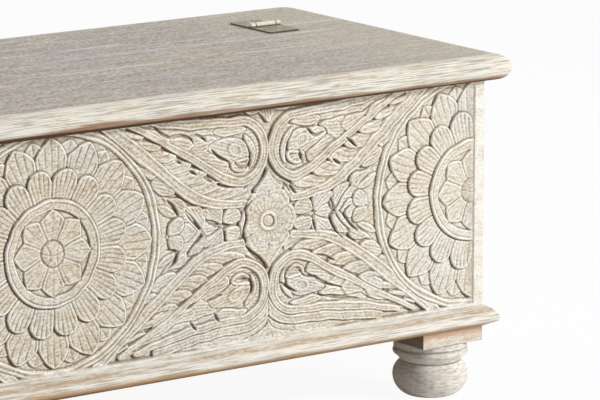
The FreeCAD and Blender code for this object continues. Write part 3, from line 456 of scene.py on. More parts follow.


# rolled brass, dulled olive, with whitewash rubbed over its high places, grime in its joints and painted shade
# on its leaves' edges. In mm
brass = {
    "dull": "#6F6858", "pale": "#98907B", "chalk": "#EFEADB", "grimeAndShade": "#3A3226",
    "tarnish": ((9, 9, 9), 4.0, 0.65), "tarnishRange": (0.35, 0.65),
    "specks": ((1.6, 1.6, 1.6), 3.0, 0.7, (4, 4, 4)),
    "high": (387.0, 389.5), "highChalk": (0.35, 0.6, 0.55, 1.0), "lowChalk": (0.58, 0.72, 0.0, 0.5),
    # painted shade on the leaves' edges, below their top faces, and grime in the barrel's joints
    "sides": (386.2, 386.4, 0.9, 0.0), "jointSides": (386.6, 387.0),
    "hingeMiddle": 462.0, "jointPlace": 13.5, "joint": (0.4, 0.9), "jointShare": 0.85,
    "metallic": (0.1, 0.6, 0.85, 0.0), "roughness": (0.3, 0.7, 0.42, 0.66), "bump": 0.3, "bumpDepth": 0.15,
}


def agedBrass(name):
    material = bpy.data.materials.new(name)
    add = emptied(material)
    tarnish, specks = cloudy(add, *brass["tarnish"]), cloudy(add, *brass["specks"])
    metal = add("mix", add("fade", tarnish, *brass["tarnishRange"]), brass["dull"], brass["pale"])
    z = add("multiply", coord(add, "z"), 1 / mm)
    chalk = add("multiply", add("fade", z, *brass["high"]), add("fade", specks, *brass["highChalk"]))
    chalk = add("larger", chalk, add("fade", specks, *brass["lowChalk"]))
    colour = add("mix", chalk, metal, brass["chalk"])
    fromHinge = add("unsigned", add("subtract", add("unsigned", coord(add, "x")), brass["hingeMiddle"] * mm))
    joint = add("unsigned", add("subtract", fromHinge, brass["jointPlace"] * mm))
    start, end = brass["joint"]
    joint = add("fade", joint, start * mm, end * mm, brass["jointShare"], 0.0)
    joint = add("multiply", joint, add("fade", z, *brass["jointSides"]))
    # painted shade on the leaves' edges, and grime in the joints
    grimeAndShade = add("larger", add("fade", z, *brass["sides"]), joint)
    colour = add("mix", grimeAndShade, colour, brass["grimeAndShade"])
    metallic = add("multiply", add("fade", chalk, *brass["metallic"]), add("subtract", 1.0, grimeAndShade))
    depth = brass["bumpDepth"] * mm
    bump = add("ShaderNodeBump", {"Height": specks, "Strength": brass["bump"], "Distance": depth})
    rough = add("fade", tarnish, *brass["roughness"])
    shader = add("ShaderNodeBsdfPrincipled", {"Base Color": colour, "Metallic": metallic, "Roughness": rough,
                                              "Normal": bump})
    add("ShaderNodeOutputMaterial", {"Surface": shader})
    return material


# zinc plated wood screws, dull grey with a faint warm stain
zinc = {"grey": "#B9B8B4", "stain": "#8C8577", "spots": ((2.2, 2.2, 2.2), 3.0, 0.6), "stainRange": (0.4, 0.7),
        "metallic": 1.0, "roughness": (0.3, 0.7, 0.32, 0.5), "bump": 0.2, "bumpDepth": 0.08}


def zincSteel(name):
    material = bpy.data.materials.new(name)
    add = emptied(material)
    spots = cloudy(add, *zinc["spots"])
    colour = add("mix", add("fade", spots, *zinc["stainRange"]), zinc["grey"], zinc["stain"])
    depth = zinc["bumpDepth"] * mm
    bump = add("ShaderNodeBump", {"Height": spots, "Strength": zinc["bump"], "Distance": depth})
    rough = add("fade", spots, *zinc["roughness"])
    shader = add("ShaderNodeBsdfPrincipled", {"Base Color": colour, "Metallic": zinc["metallic"],
                                              "Roughness": rough, "Normal": bump})
    add("ShaderNodeOutputMaterial", {"Surface": shader})
    return material


carvedMango = limewashedMango("limewashed_mango_carved", "x", carved, carvedShading)
panelMango = limewashedMango("limewashed_mango_panel", "x", plain, bareInside)
panelMangoEnd = limewashedMango("limewashed_mango_end", "y", plain, bareInside)
mouldingMango = limewashedMango("limewashed_mango_moulding", "x", moulded, mouldedShading)
mouldingMangoEnd = limewashedMango("limewashed_mango_moulding_end", "y", moulded, mouldedShading)
footMango = limewashedMango("limewashed_mango_turned", "z", footed, footShading)
topMango = limewashedMango("wire_brushed_mango_top", "x", {}, topShading)
innerMango = limewashedMango("sanded_mango_inside", "x", inner)
innerMangoUpright = limewashedMango("sanded_mango_posts", "z", inner)
innerMangoAcross = limewashedMango("sanded_mango_battens", "y", inner)
hingeBrass = agedBrass("aged_brass")
screwSteel = zincSteel("zinc_plated_steel")


def dress(material, *names):
    for name in names:
        mesh = nodes[name].data
        mesh.materials.clear()
        mesh.materials.append(material)


corners = [f"{y}_{x}" for y in ("front", "back") for x in ("left", "right")]
dress(panelMango, "back_panel", "front_panel")
dress(panelMangoEnd, "left_end_panel", "right_end_panel")
dress(mouldingMango, "plinth_moulding_front", "plinth_moulding_back")
dress(mouldingMangoEnd, "plinth_moulding_left", "plinth_moulding_right")
dress(footMango, *[f"foot_{c}" for c in corners])
dress(topMango, "lid_front_board", "lid_rear_board", "back_top_board")
dress(innerMango, "bottom_board_front", "bottom_board_middle", "bottom_board_back", "bottom_cleat_front",
      "bottom_cleat_back", "seam_rail")
dress(innerMangoUpright, *[f"corner_{piece}_{c}" for piece in ("post", "block") for c in corners])
dress(innerMangoAcross, "bottom_cleat_left", "bottom_cleat_right", "lid_batten_left", "lid_batten_middle",
      "lid_batten_right")
dress(hingeBrass, "hinge_pins", *[f"hinge_{side}_{part}_leaf" for side in ("left", "right")
                                  for part in ("box", "lid")])
dress(screwSteel, "bottom_screws", "foot_bolts", "box_leaf_screws", "lid_leaf_screws", "batten_screws")
report("materials")


# the carved front. Every height is in mm above the sunk ground, u and v in mm from a medallion's middle
carving = {
    "pitch": 546.0,             # from one medallion to the next
    "middle": 233.5,            # height of the medallions' middles above the floor
    "lowerShare": 0.93,         # the lower paisleys are drawn in for the leaf border under them
    "reach": 138.0,             # how far the drawing goes up from the middle line
    "below": 8,                 # and how far down, for the leaves that cross that line
    "drawStep": 0.5,            # grid on which one quarter is drawn
    "cutStep": 0.7,             # grid of the finished surface
    "face": 7.0,                # the wood's face above the ground
    "wander": 0.34,             # hand-cut unevenness
    "wanderWaves": (23.0, 41.0, 83.0, 149.0),
    "seed": 11,
    "roughness": 0.156,         # raised grain and small gouge marks all over the wood, before softening
    "shallow": 0.38,            # how much the broad forms are levelled, while the fine cuts keep their depth
    "broad": 40,                # how softened the surface is that counts as a broad form
    "skin": 0.1,                # the least that stays above the ground and below the face
    "ends": (7.0, 1.2, 0.8),    # rising to the plain ends: over what length, how near the face, how much
    "strongerMarksRadius": 122.0,        # round the middle medallion the painted shade in the fine cuts and the painted shadow are stronger
    "strips": 6,                # the board's face is divided for the mesh alone
    "offCentre": (4.2, -1.6),   # how far the middle medallion sits off the middle, as it was set out by hand
    "offCentreReach": (135.0, 200.0),
}
medallion = {
    "dome": 13.8, "domeRise": 4.9, "flower": 46.0, "rimInner": 45.0, "rimTop": 54.0, "rimLine": 53.6,
    "rimOuter": 57.2, "border": (122.5, 132.5), "petals": 16,
    "rows": (
        # radius at root and tip, turn in petals, height at root and tip, flutes, straight share, tip, width
        (96, 119, 0.5, 1.0, 3.4, 3, 0.35, 1.5, 0.7),
        (84.0, 121.0, 0, 2.2, 5.2, 5, 0.42, 1.32),
        (55.0, 89.5, 0.5, 3.2, 6.6, 6, 0.52, 1.9),
    ),
}


def easeIn(x):
    x = np.clip(x, 0, 1)
    return x * x * (3 - 2 * x)


def groove(wave, sharp=3):      # 1 in the middle of each wave, and the narrower the sharper
    return (0.5 + 0.5 * np.cos(wave)) ** sharp


def smoothLine(points, closed=False, pieces=7):     # a curve through the points
    pts = np.array(points, float)
    ends = (pts[-1:], pts[:1], pts[1:2]) if closed else (2 * pts[:1] - pts[1:2], 2 * pts[-1:] - pts[-2:-1])
    pts = np.vstack([ends[0], pts, *ends[1:]])
    t = np.linspace(0, 1, pieces, endpoint=False)[:, None]
    line = [0.5 * (2 * b + (c - a) * t + (2 * a - 5 * b + 4 * c - d) * t ** 2
                   + (3 * b - a - 3 * c + d) * t ** 3)
            for a, b, c, d in zip(pts, pts[1:], pts[2:], pts[3:])]
    return np.vstack(line + [pts[-2:-1]])


def follow(line, u, v):     # share of the way along a line, and distance from it, positive on its left
    nearest, along, side, start = np.full(u.shape, 1e9), np.zeros(u.shape), np.ones(u.shape), 0.0
    for (pu, pv), (du, dv) in zip(line[:-1], np.diff(line, axis=0)):
        length = math.hypot(du, dv)
        if length < 1e-9:
            continue
        eu, ev = u - pu, v - pv
        t = np.clip((eu * du + ev * dv) / length ** 2, 0, 1)
        away = (eu - t * du) ** 2 + (ev - t * dv) ** 2
        closer = away < nearest
        nearest[closer] = away[closer]
        along[closer] = start + t[closer] * length
        side[closer] = np.sign(du * ev - dv * eu)[closer]
        start += length
    return along / start, np.sqrt(nearest) * side


def within(line, u, v):     # what lies inside a closed line
    hit = np.zeros(u.shape, bool)
    for (au, av), (bu, bv) in zip(line, np.roll(line, -1, axis=0)):
        if av != bv:
            hit ^= ((av > v) != (bv > v)) & (u < (bu - au) * (v - av) / (bv - av) + au)
    return hit


# a ring of petals from start to end, rising from low to high, their sides straight for a share of the way
def cutPetals(height, r, angle, start, end, count, turn, low, high, flutes, straight, tip, spread=1.0,
              depth=1.35):
    offset = (angle - turn) * count / (2 * math.pi)
    offset = offset - np.round(offset)
    share = (r - start) / (end - start)
    bend = np.clip((share - straight) / (1 - straight), 0, 1)
    width = np.clip(1 - bend ** tip, 0, 1) ** (1 / tip)
    across = np.abs(offset) * 2 / spread
    inset = np.clip(width - across, 0, 1)
    rise = np.clip(share, 0, 1)
    form = low + (high - low) * rise ** 1.3
    # a knife cut round each petal, as a share of its half width
    outline = 1.2 / np.maximum(r * math.pi / count, 1.2)
    form += (0.35 * np.exp(-((inset - 1.7 * outline) / outline) ** 2)
             - 1.3 * np.clip(1 - inset / outline, 0, 1))
    form -= depth * groove(2 * math.pi * offset * flutes, 8) * easeIn(inset / 0.2) * (0.35 + 0.65 * rise)
    beside = (share > 0.2) & (r < end + 1.6) & (across < width + outline)
    np.copyto(height, height - 1.0, where=beside)
    np.copyto(height, form, where=(share > -0.2) & (share < 1) & (across < width))


# from the border inwards: three rows of petals, the rim, the small flower and the ball in its middle
def cutMedallion(u, v):
    m = medallion
    r, angle = np.hypot(u, v), np.arctan2(v, u)
    pitch = 2 * math.pi / m["petals"]
    h = np.full(u.shape, 1.0)
    border = 3.1 + 1.6 * np.exp(-((r - 129.8) / 1.2) ** 2) + 1.3 * np.exp(-((r - 125.0) / 1.0) ** 2)
    np.copyto(h, border, where=(r > m["border"][0]) & (r < m["border"][1]))
    for start, end, turn, *shape in m["rows"]:
        cutPetals(h, r, angle, start, end, m["petals"], turn * pitch, *shape)
    rim = 6.6 - 1.7 * np.clip((m["rimTop"] - r) / 9, 0, 1) ** 0.85
    rim -= 1.2 * np.clip((r - m["rimTop"] - 1.5) / 1.7, 0, 1) ** 2
    rim -= (0.25 * groove(angle * 90, 1) * easeIn((r - m["rimInner"] - 1) / 3)
            * easeIn((m["rimTop"] + 1 - r) / 2))
    rim -= 1.1 * np.exp(-((r - m["rimLine"]) / 0.65) ** 2)
    np.copyto(h, h - 0.8, where=(r >= m["rimOuter"]) & (r < m["rimOuter"] + 1.4))
    np.copyto(h, rim, where=(r > m["rimInner"] - 2) & (r < m["rimOuter"]))
    np.copyto(h, np.full(u.shape, 2.7), where=r <= m["rimInner"] + 0.7)
    cutPetals(h, r, angle, 4, m["flower"], 8, 0, 3.4, 5.0, 3, 0.78, 1.05, depth=0.7)
    np.copyto(h, np.full(u.shape, 2.4), where=r < m["dome"] + 1.3)
    dome = 1.9 + m["domeRise"] * np.clip(1 - (r / m["dome"]) ** 2, 0, 1) ** 0.7
    for bow in (-1, 1):     # two gouge lines over the ball
        dome -= 0.9 * np.exp(-((u * bow + 0.16 * v + 4.0 - 0.035 * v * v * bow) / 0.8) ** 2)
    dome -= 0.9 * np.exp(-((v - 0.22 * u + 1.5) / 0.8) ** 2)
    np.copyto(h, dome, where=r < m["dome"])
    return h, r < m["border"][1]


# six lobes round a ring and a ball, midway between two medallions
rosette = {
    "edge": 31.0, "lobes": 5.4, "scallops": 0.4, "scallopCount": 19,
    "lines": ((5.0, 0.8), (11.0, 0.5)),     # lines that follow the lobes: how far inside the edge, depth
    "ring": 9.4, "ringHalf": 2.6, "ringOuter": 11.4, "ball": 6.6, "ballOuter": 7.6,
}


def cutRosette(u, v):
    c = rosette
    du = u - carving["pitch"] / 2
    r, angle = np.hypot(du, v), np.arctan2(v, du)
    offset = angle * 3 / math.pi + 0.5
    offset = offset - np.round(offset)
    edge = c["edge"] + c["lobes"] * np.sqrt(np.abs(offset) * 2)
    edge = edge - c["scallops"] * np.cos(angle * c["scallopCount"])
    form = 3.4 + 2.2 * easeIn((r - 12) / 15)
    for inset, depth in c["lines"]:
        form -= depth * np.exp(-((edge - r - inset) / 0.9) ** 2)
    form -= 0.6 * groove(angle * 23 + 0.12 * r, 4) * easeIn((r - 12) / 2) * easeIn((27 - r) / 6)
    form -= 0.4 * groove(angle * 37 - 0.2 * r, 4) * easeIn((r - 22) / 3)
    form -= 1.5 * np.exp(-(offset * r / 1.4) ** 2) * easeIn((r - 21) / 6)
    form -= 0.8 * (1 - np.clip((edge - r) / 1.6, 0, 1)) ** 2
    h = np.full(u.shape, 0.4)
    np.copyto(h, form, where=r < edge)
    ring = 5.1 - 1.0 * np.clip(np.abs(r - c["ring"]) / c["ringHalf"], 0, 1) ** 2
    np.copyto(h, ring, where=r < c["ringOuter"])
    ball = 2.4 + 2.7 * np.sqrt(np.clip(1 - (r / c["ball"]) ** 2, 0, 1))
    np.copyto(h, ball, where=r < c["ballOuter"])
    return h, r < edge


# a band between two raised edges, with a fine line along it and strokes across
def cutBand(height, along, across, half, top, hatch, length):
    t = across / half
    crest = np.exp(-((np.abs(t) - 0.78) / 0.14) ** 2)
    strokes = groove(along * length * 2 * math.pi / hatch, 2) * (np.abs(t) < 0.6)
    form = top - 1.3 * (1 - crest) - 0.22 * strokes
    form += 0.6 * np.exp(-(t / 0.14) ** 2)
    form -= 1.2 * np.clip((np.abs(t) - 0.88) / 0.22, 0, 1) ** 2
    np.copyto(height, form, where=np.abs(t) < 1.1)


# leaflets that overlap along a line, with pits between their tips
def cutFeather(height, along, depth, reach, count, gap, low, high, shift):
    share = np.clip(depth / reach, 0, 1)
    phase = along * count + shift
    lying = phase + 0.8 * share ** 2
    f = lying - np.floor(lying)
    onGap = phase - np.floor(phase)
    pit = gap * (1 - onGap) ** 1.5
    form = low + (high - low) * f ** 1.3 - 0.7 * easeIn((f - 0.95) / 0.05)
    form -= 1.0 * groove(2 * math.pi * (f * 3 + 0.25), 5) * easeIn((1 - f) / 0.2)
    form -= 1.8 * (1 - easeIn((depth - pit) / 1.5))
    np.copyto(form, np.full(along.shape, 0.1), where=depth <= pit)
    np.copyto(height, form, where=(depth > -2) & (along > 0.001))


# one leaf, rising from its root to its tip, veined along it or fanned out from the root, with a cut round it
def cutLeaf(height, u, v, points, root, low, high, veins=2.8, hollow=0.0, fan=False):
    line = smoothLine(points, closed=True)
    low2, high2 = line.min(axis=0) - 2, line.max(axis=0) + 2
    rows = np.flatnonzero((v[:, 0] > low2[1]) & (v[:, 0] < high2[1]))
    cols = np.flatnonzero((u[0] > low2[0]) & (u[0] < high2[0]))
    if not len(rows) or not len(cols):
        return
    part = np.s_[rows[0]:rows[-1] + 1, cols[0]:cols[-1] + 1]
    pu, pv = u[part], v[part]
    edge = np.abs(follow(line, pu, pv)[1])
    inside = within(line, pu, pv)
    far = max(math.dist(p, root) for p in points)
    tip = max(points, key=lambda p: math.dist(p, root))
    course = math.atan2(tip[1] - root[1], tip[0] - root[0])
    du, dv = pu - root[0], pv - root[1]
    form = low + (high - low) * (np.hypot(du, dv) / far) ** 1.2
    form -= hollow * easeIn((edge - 1.5) / 3)
    across = dv * math.cos(course) - du * math.sin(course)
    wave = (np.arctan2(dv, du) - course) * veins if fan else across / veins
    form -= 1.0 * groove(wave * 2 * math.pi, 5) * easeIn((edge - 0.8) / 1.5)
    form -= 0.9 * (1 - np.clip(edge / 1.3, 0, 1)) ** 2
    np.copyto(height[part], np.clip(height[part] - 1.3, 0, None), where=~inside & (edge < 1.3))
    np.copyto(height[part], form, where=inside)


# outlines of one quarter, up and to the right of a medallion
quarter = {
    "longBand": [(50, 139), (66, 124.5), (85, 108.5), (105, 93), (127, 74.5), (147, 58), (169, 42),
                 (190, 30.5), (214, 24), (240, 21.5)],
    "longBandHalf": ((0, 0.35, 0.75, 1), (6.0, 7.0, 6.0, 4.0)),
    "paisleyLower": [(80, 131), (95, 122), (108, 115.5), (122, 108), (138, 99), (152, 91), (175, 77.5),
                     (199, 63), (219, 51)],
    "paisleyUpper": [(218, 111.5), (195, 113), (165, 116), (135, 121), (100, 130)],
    "paisleyHalf": ((0, 0.15, 0.4, 0.6, 0.72, 0.82, 1), (2.4, 3.4, 5.0, 4.6, 4.6, 5.4, 3.0)),
    "head": (235.5, 78.0), "headRadius": 33.0,
    "bowl": [(226, 68), (236, 71), (248.5, 71.5), (249.5, 66), (244.5, 59.5), (236.5, 56.5), (228, 60)],
    "crescent": [(242, 97), (252, 89), (257.5, 77), (255, 65), (249.5, 59), (252, 70), (250, 80), (243.5, 90)],
}
leaves = [
    # outline, root, height at the root and at the tip, vein spacing. In the paisley, from its tail to its head
    ([(112, 117), (128, 113.5), (141, 108), (147.5, 103.5), (143, 99.5), (131, 106), (118, 112)],
     (108, 117), 2.6, 5.8, 3.4),
    ([(141, 108.5), (150, 103), (160, 102.2), (172, 101.5), (176.5, 96), (181, 91), (172, 85), (158, 92),
     (147, 99)], (138, 104), 2.4, 5.8, 3.5),
    ([(173, 102), (190, 99.5), (201, 98.5), (207, 94.5), (198, 89.5), (195, 83), (184, 76.5), (172, 84),
     (178, 92)], (164, 92), 2.4, 5.8, 3.5),
    ([(196, 83.5), (206, 77.5), (217, 71), (223, 66.5), (219, 57.5), (203, 66), (186, 75.5)],
     (182, 78), 2.4, 4.6, 3.5),
    ([(203, 102), (212, 106.5), (224, 108), (236, 106.5), (245, 101.5), (232, 98), (216, 96)],
     (200, 98), 2.6, 5.0, 3.5),
    ([(197, 84.5), (208, 78), (218, 72.5), (226, 67.5), (240, 66), (248, 72), (247, 82), (242, 90),
     (232, 94), (216, 94), (202, 92)], (196, 88), 3.0, 5.6, 3.6),
    # between the medallion's border and the rosette
    ([(134, 44), (143, 39), (157, 38), (165, 33), (166.5, 26), (159, 19), (151, 28), (140, 36)],
     (132, 46), 2.2, 5.8, 3.5),
    ([(129, 33), (138, 33), (149, 26), (156, 19), (146, 19.5), (136, 24)], (127, 34), 1.6, 3.2, 3.6),
    ([(140, 0), (148, 12), (163, 23.5), (174, 15.5), (182, 5), (185, 0), (182, -5), (174, -15.5),
     (163, -23.5), (148, -12)], (136, 0), 2.0, 4.4, 3.6),
    ([(166, 28), (176, 27.5), (187, 24), (191.5, 10), (186.5, 0), (184, 6), (176, 16), (168, 23)],
     (166, 31), 2.2, 5.8, 3.5),
    ([(189, 20.5), (202, 22), (214, 20), (214.5, 8), (212, 2.5), (203, 7), (193, 11)],
     (187, 23), 2.4, 5.6, 3.5),
    ([(190.5, 0), (193, 7), (203, 5.5), (211, 0), (203, -5.5), (193, -7)], (187, 0), 1.2, 2.6, 3.6),
    ([(216.5, 4), (217, 13), (222, 19), (231, 18.5), (238, 12), (238, 4), (228, 1.4)],
     (242, 9), 3.0, 6.0, 3.6),
    # between the border and the long band
    ([(121, 57), (128, 66), (138, 63), (147, 53.5), (151, 44), (141, 42), (130, 46)],
     (119, 56), 2.0, 5.4, 3.5),
    ([(105, 82), (112, 84), (122, 75.5), (129, 68), (122, 62), (112, 70)], (101, 82), 1.8, 4.6, 3.5),
    # on the mirror line, above the rosette and at the top edge
    ([(256, 33), (262, 41), (269, 50), (273, 57), (277, 50), (284, 41), (290, 33), (273, 30)],
     (273, 24), 6.0, 6.2, 900),
    ([(258, 124), (266, 114), (273, 106), (280, 114), (288, 124)], (273, 126), 3.0, 5.2, 3.6),
    ([(240, 126), (247, 117), (259, 117), (265, 121), (258, 128)], (262, 130), 2.0, 4.2, 3.5),
]
fans = [
    ([(157, 3), (160, 9), (168, 10), (178, 1), (178, -1), (168, -10), (160, -9), (157, -3)],
     (152, 0), 3.4, 6.0, 7),
    ([(143, 1), (144, 12), (152, 18), (160.5, 16), (162, 8), (157, 1.2)], (141, 1), 3.4, 6.0, 5),
]


def drawQuarter(u, v):      # its heights, and how far outside the paisley each point lies
    q = quarter
    h = np.full(u.shape, 0.6)
    band = smoothLine(q["longBand"])
    bandAlong, bandAcross = follow(band, u, v)
    bandHalf = np.interp(bandAlong, *q["longBandHalf"])
    (headU, headV), radius = q["head"], q["headRadius"]
    turn = [(headU + radius * math.cos(a), headV + radius * math.sin(a))
            for a in np.radians(np.arange(-88, 90, 22))]
    outline = smoothLine(q["paisleyLower"] + turn + q["paisleyUpper"])
    along, across = follow(outline, u, v)
    inside = within(outline, u, v)

    lower = smoothLine(q["paisleyLower"] + turn[:2])
    lowerAlong, lowerAcross = follow(lower, u, v)
    depth = -lowerAcross - np.interp(lowerAlong, (0, 0.4, 1), (2.5, 4.6, 4.8))
    feather = np.full(u.shape, 0.6)
    reach = np.clip(depth + np.abs(bandAcross) - bandHalf, 5, 40)
    cutFeather(feather, lowerAlong, depth, reach, 8.0, 4.4, 2.4, 5.6, 0.35)
    np.copyto(h, feather, where=(bandAcross > 0) & ~inside & (lowerAcross < 0) & (lowerAlong < 0.995))

    np.copyto(h, 2.4 - 0.6 * groove(v * 2 * math.pi / 3.7, 3), where=inside)
    for outlinePoints, root, low, high, veins in leaves:
        cutLeaf(h, u, v, outlinePoints, root, low, high, veins)
    for outlinePoints, root, low, high, veins in fans:
        cutLeaf(h, u, v, outlinePoints, root, low, high, veins, fan=True)
    cutLeaf(h, u, v, q["bowl"], (222, 69), 4.6, 5.0, 3.0, hollow=3.0)
    eye = np.hypot((u - 230.5) / 9.4, (v - 81.5 + 0.18 * (u - 230.5)) / 6.6)
    np.copyto(h, 5.4 - 0.8 * np.clip(np.abs(eye - 0.86) / 0.24, 0, 1) ** 2, where=eye < 1.1)
    np.copyto(h, 4.5 - 0.6 * groove(u * 2 * math.pi / 2.6, 2), where=eye < 0.66)
    cutLeaf(h, u, v, q["crescent"], (240, 99), 4.8, 4.0, 2.4)
    cutBand(h, bandAlong, bandAcross, bandHalf, 5.7, 3.4, 235)
    half = np.interp(along, *q["paisleyHalf"])
    cutBand(h, along, across, half, 6.0, 3.4, 470)
    return np.dstack([h, np.where(inside, -1.0, np.abs(across) - half)])


# where the chisel went deepest, x and z from the front's middle, alike on its left half
deepCuts = [
    [(129, 117), (139, 108), (150, 102)], [(150, 104), (161, 104), (175, 99), (178, 93)],
    [(181, 103), (190, 98), (194, 94)], [(156, 78), (163, 74)], [(173, 65), (182, 60)],
    [(190, 57), (201, 50)], [(207, 47), (215, 44)], [(201, 85), (211, 75), (224, 69)],
    [(230, 68), (239, 61), (248, 63), (251, 76)], [(144, 38), (153, 29), (159, 18)],
    [(167, 22), (175, 12), (187, 0), (187, -7), (173, -19), (169, -32)],
    [(194, 8), (207, 2), (218, 2), (225, -1)], [(217, -4), (218, -17)],
    [(144, -16), (156, -19), (154, -30), (144, -38)],
    [(252, 24), (244, 15), (245, 4), (241, -7), (244, -23)], [(244, -24), (261, -42)],
    [(274, 54), (284, 42), (297, 35), (301, 28)], [(355, 15), (359, 0), (354, -7), (363, -24), (370, -31)],
    [(380, 3), (372, -4), (380, -16), (390, -26)], [(332, -6), (335, -20)],
    [(232, -59), (249, -62), (252, -73), (245, -80)], [(194, -78), (213, -73)], [(173, -97), (180, -107)],
    [(205, -93), (209, -102)], [(288, -69), (304, -80), (310, -83)],
    [(314, -60), (321, -67), (335, -70), (340, -75), (354, -81), (370, -86)], [(343, -92), (394, -102)],
    [(336, -45), (350, -50), (360, -55)], [(167, -83), (180, -77)], [(313, 72), (319, 56)],
    [(323, 95), (334, 85), (346, 88)], [(375, 78), (383, 72), (389, 66)], [(357, 57), (369, 49)],
    [(301, 35), (309, 25)],
]


chisel = {"halfWidth": 2.3, "depth": 5.5, "wall": 1.1, "deepest": -0.6}


def cutDeep(height, x, z):
    for points in deepCuts:
        line = smoothLine(points, pieces=3)
        (left, low), (right, high) = line.min(axis=0) - 3, line.max(axis=0) + 3
        rows = np.flatnonzero((z[:, 0] > low) & (z[:, 0] < high))
        for side in (-1, 1):
            cols = np.flatnonzero((x[0] * side > left) & (x[0] * side < right))
            part = np.s_[rows[0]:rows[-1] + 1, cols[0]:cols[-1] + 1]
            along, across = follow(line, x[part] * side, z[part])
            half = chisel["halfWidth"] * np.sin(np.pi * np.clip(along * 0.9 + 0.05, 0, 1)) ** 0.6
            floor = height[part] - chisel["depth"] * easeIn((half - np.abs(across)) / chisel["wall"])
            np.copyto(height[part], np.maximum(floor, chisel["deepest"]))


# a second band under the lower paisleys, and a tented leaf between two
footBorder = {"start": 117.0, "bend": 17.0, "stroke": 31.0, "band": 11.5, "tip": -106.6}


def cutFootBorder(h, u, z, beyond):
    b, half = footBorder, carving["pitch"] / 2
    rise = 9.0 * np.clip((b["start"] + b["bend"] - u) / b["bend"], 0, 1) ** 2
    here = (z < -80) & (beyond > 0) & (u > b["start"] + rise)
    ground = 3.4 - 0.35 * groove((z + 0.05 * u) * 2 * math.pi / 3.3, 2)
    np.copyto(h, ground, where=here)
    phase = (u - b["start"] + 0.5 * beyond) / b["stroke"]
    stroke = np.abs(phase - np.round(phase)) * b["stroke"]
    share = beyond / b["band"]
    crest = np.exp(-((share - 0.18) / 0.07) ** 2) + np.exp(-((share - 0.9) / 0.07) ** 2)
    form = 4.1 + 1.2 * crest + 0.4 * np.exp(-((share - 0.5) / 0.08) ** 2) - 0.7 * np.exp(-(stroke / 0.7) ** 2)
    form -= 1.6 * np.exp(-((u - half) / 1.0) ** 2)
    np.copyto(h, np.full(h.shape, 1.6), where=here & (share < 1.13))
    np.copyto(h, form, where=here & (share > 0.06) & (share < 1))
    drop, across = np.clip(b["tip"] - z, 0, None), np.abs(u - half)
    side = 8.5 * (drop / 11.4) ** 2.6 - across
    tent = 5.2 - 0.04 * across - 0.6 * groove((across - 0.55 * drop) * 2 * math.pi / 6.0, 6)
    np.copyto(h, np.full(h.shape, 1.8), where=here & (side > -1.6) & (drop > 0) & (across < 50))
    np.copyto(h, tent, where=here & (side > 0) & (across < 50))


# the heights over the whole front: the quarter is drawn once, mirrored, and bent a little out of true by hand
def carveFront(xs, zs):
    x, z = np.meshgrid(xs, zs)
    hand = np.random.default_rng(carving["seed"])
    wander = np.zeros((2,) + x.shape)
    for wave in carving["wanderWaves"]:
        for way in wander:
            turned, phase = hand.uniform(0, 2 * math.pi, 2)
            run = x * math.cos(turned) + z * math.sin(turned)
            way += carving["wander"] * np.sin(run * 2 * math.pi / wave + phase)
    near, far = carving["offCentreReach"]
    drift = 1 - easeIn((np.abs(x) - near) / (far - near))
    x, z = x + wander[0] - carving["offCentre"][0] * drift, z + wander[1] - carving["offCentre"][1] * drift
    half = carving["pitch"] / 2
    u = half - np.abs(np.abs(x) % carving["pitch"] - half)
    v = np.where(z >= 0, z, -z / carving["lowerShare"])

    step, below = carving["drawStep"], carving["below"]
    us, vs = np.arange(0, half + 2 * step, step), np.arange(-below, carving["reach"] + below, step)
    drawn = drawQuarter(*np.meshgrid(us, vs))
    gu, gv = np.clip(u / step, 0, len(us) - 1.001), np.clip((v + below) / step, 0, len(vs) - 1.001)
    iu, iv = gu.astype(int), gv.astype(int)
    fu, fv = (gu - iu)[..., None], (gv - iv)[..., None]
    h, beyond = np.moveaxis((drawn[iv, iu] * (1 - fu) + drawn[iv, iu + 1] * fu) * (1 - fv)
                            + (drawn[iv + 1, iu] * (1 - fu) + drawn[iv + 1, iu + 1] * fu) * fv, 2, 0)
    cutFootBorder(h, u, z, beyond)
    for part, inside in (cutMedallion(u, z), cutRosette(u, z)):
        np.copyto(h, part, where=inside)
    edge = np.minimum(np.abs(x[:, -1:] - x), np.abs(x - x[:, :1]))
    x, z = np.meshgrid(xs, zs)
    cutDeep(h, x, z)
    broad = soften(h, carving["broad"])
    grain = soften(hand.normal(0, carving["roughness"], h.shape))
    h = h - carving["shallow"] * (broad - broad.mean()) + grain
    h = np.clip(h, carving["skin"], carving["face"] - carving["skin"])
    length, under, share = carving["ends"]
    return h + (carving["face"] - under - h) * (1 - easeIn(edge / length)) * share


def soften(h, passes=1):
    for _ in range(passes):
        h = 0.5 * h + 0.25 * (np.roll(h, 1, 0) + np.roll(h, -1, 0))
        h = 0.5 * h + 0.25 * (np.roll(h, 1, 1) + np.roll(h, -1, 1))
    return h


# the plain edges round the carving, and the marks that its material reads, which paint highlight, shade and
# shadow into it. All are in mm, but for the shift
edging = {"side": 13.0, "top": 2.0, "bottom": 28.0, "wall": 0.6}
marking = {
    "shadowSide": (-2, -3),        # rows and columns: painted shadow on each form's left, where the surface up and to the right stands higher
    "shadowDepth": (1.75, 1.7), "pitDepth": (1.6, 1.2),        # where the painted shadow and the painted shade in the pits start, and how soon they are full
    # where the painted shade in the fine cuts and the painted highlight on the crests start, and how soon they
    # are full
    "veinDepth": (0.05, 0.22), "arrisHeight": (0.05, 0.25),
    "strongerMarks": 0.6,          # how much stronger the painted shade and shadow are round the middle medallion
    "edges": {"vein": 0, "hollow": 0, "arris": 0.5},        # the marks on the plain edges: no painted shade or shadow, and half the painted highlight
    "near": 3, "wide": 12,      # how softened the surface is that small and broad hollows are told from
}


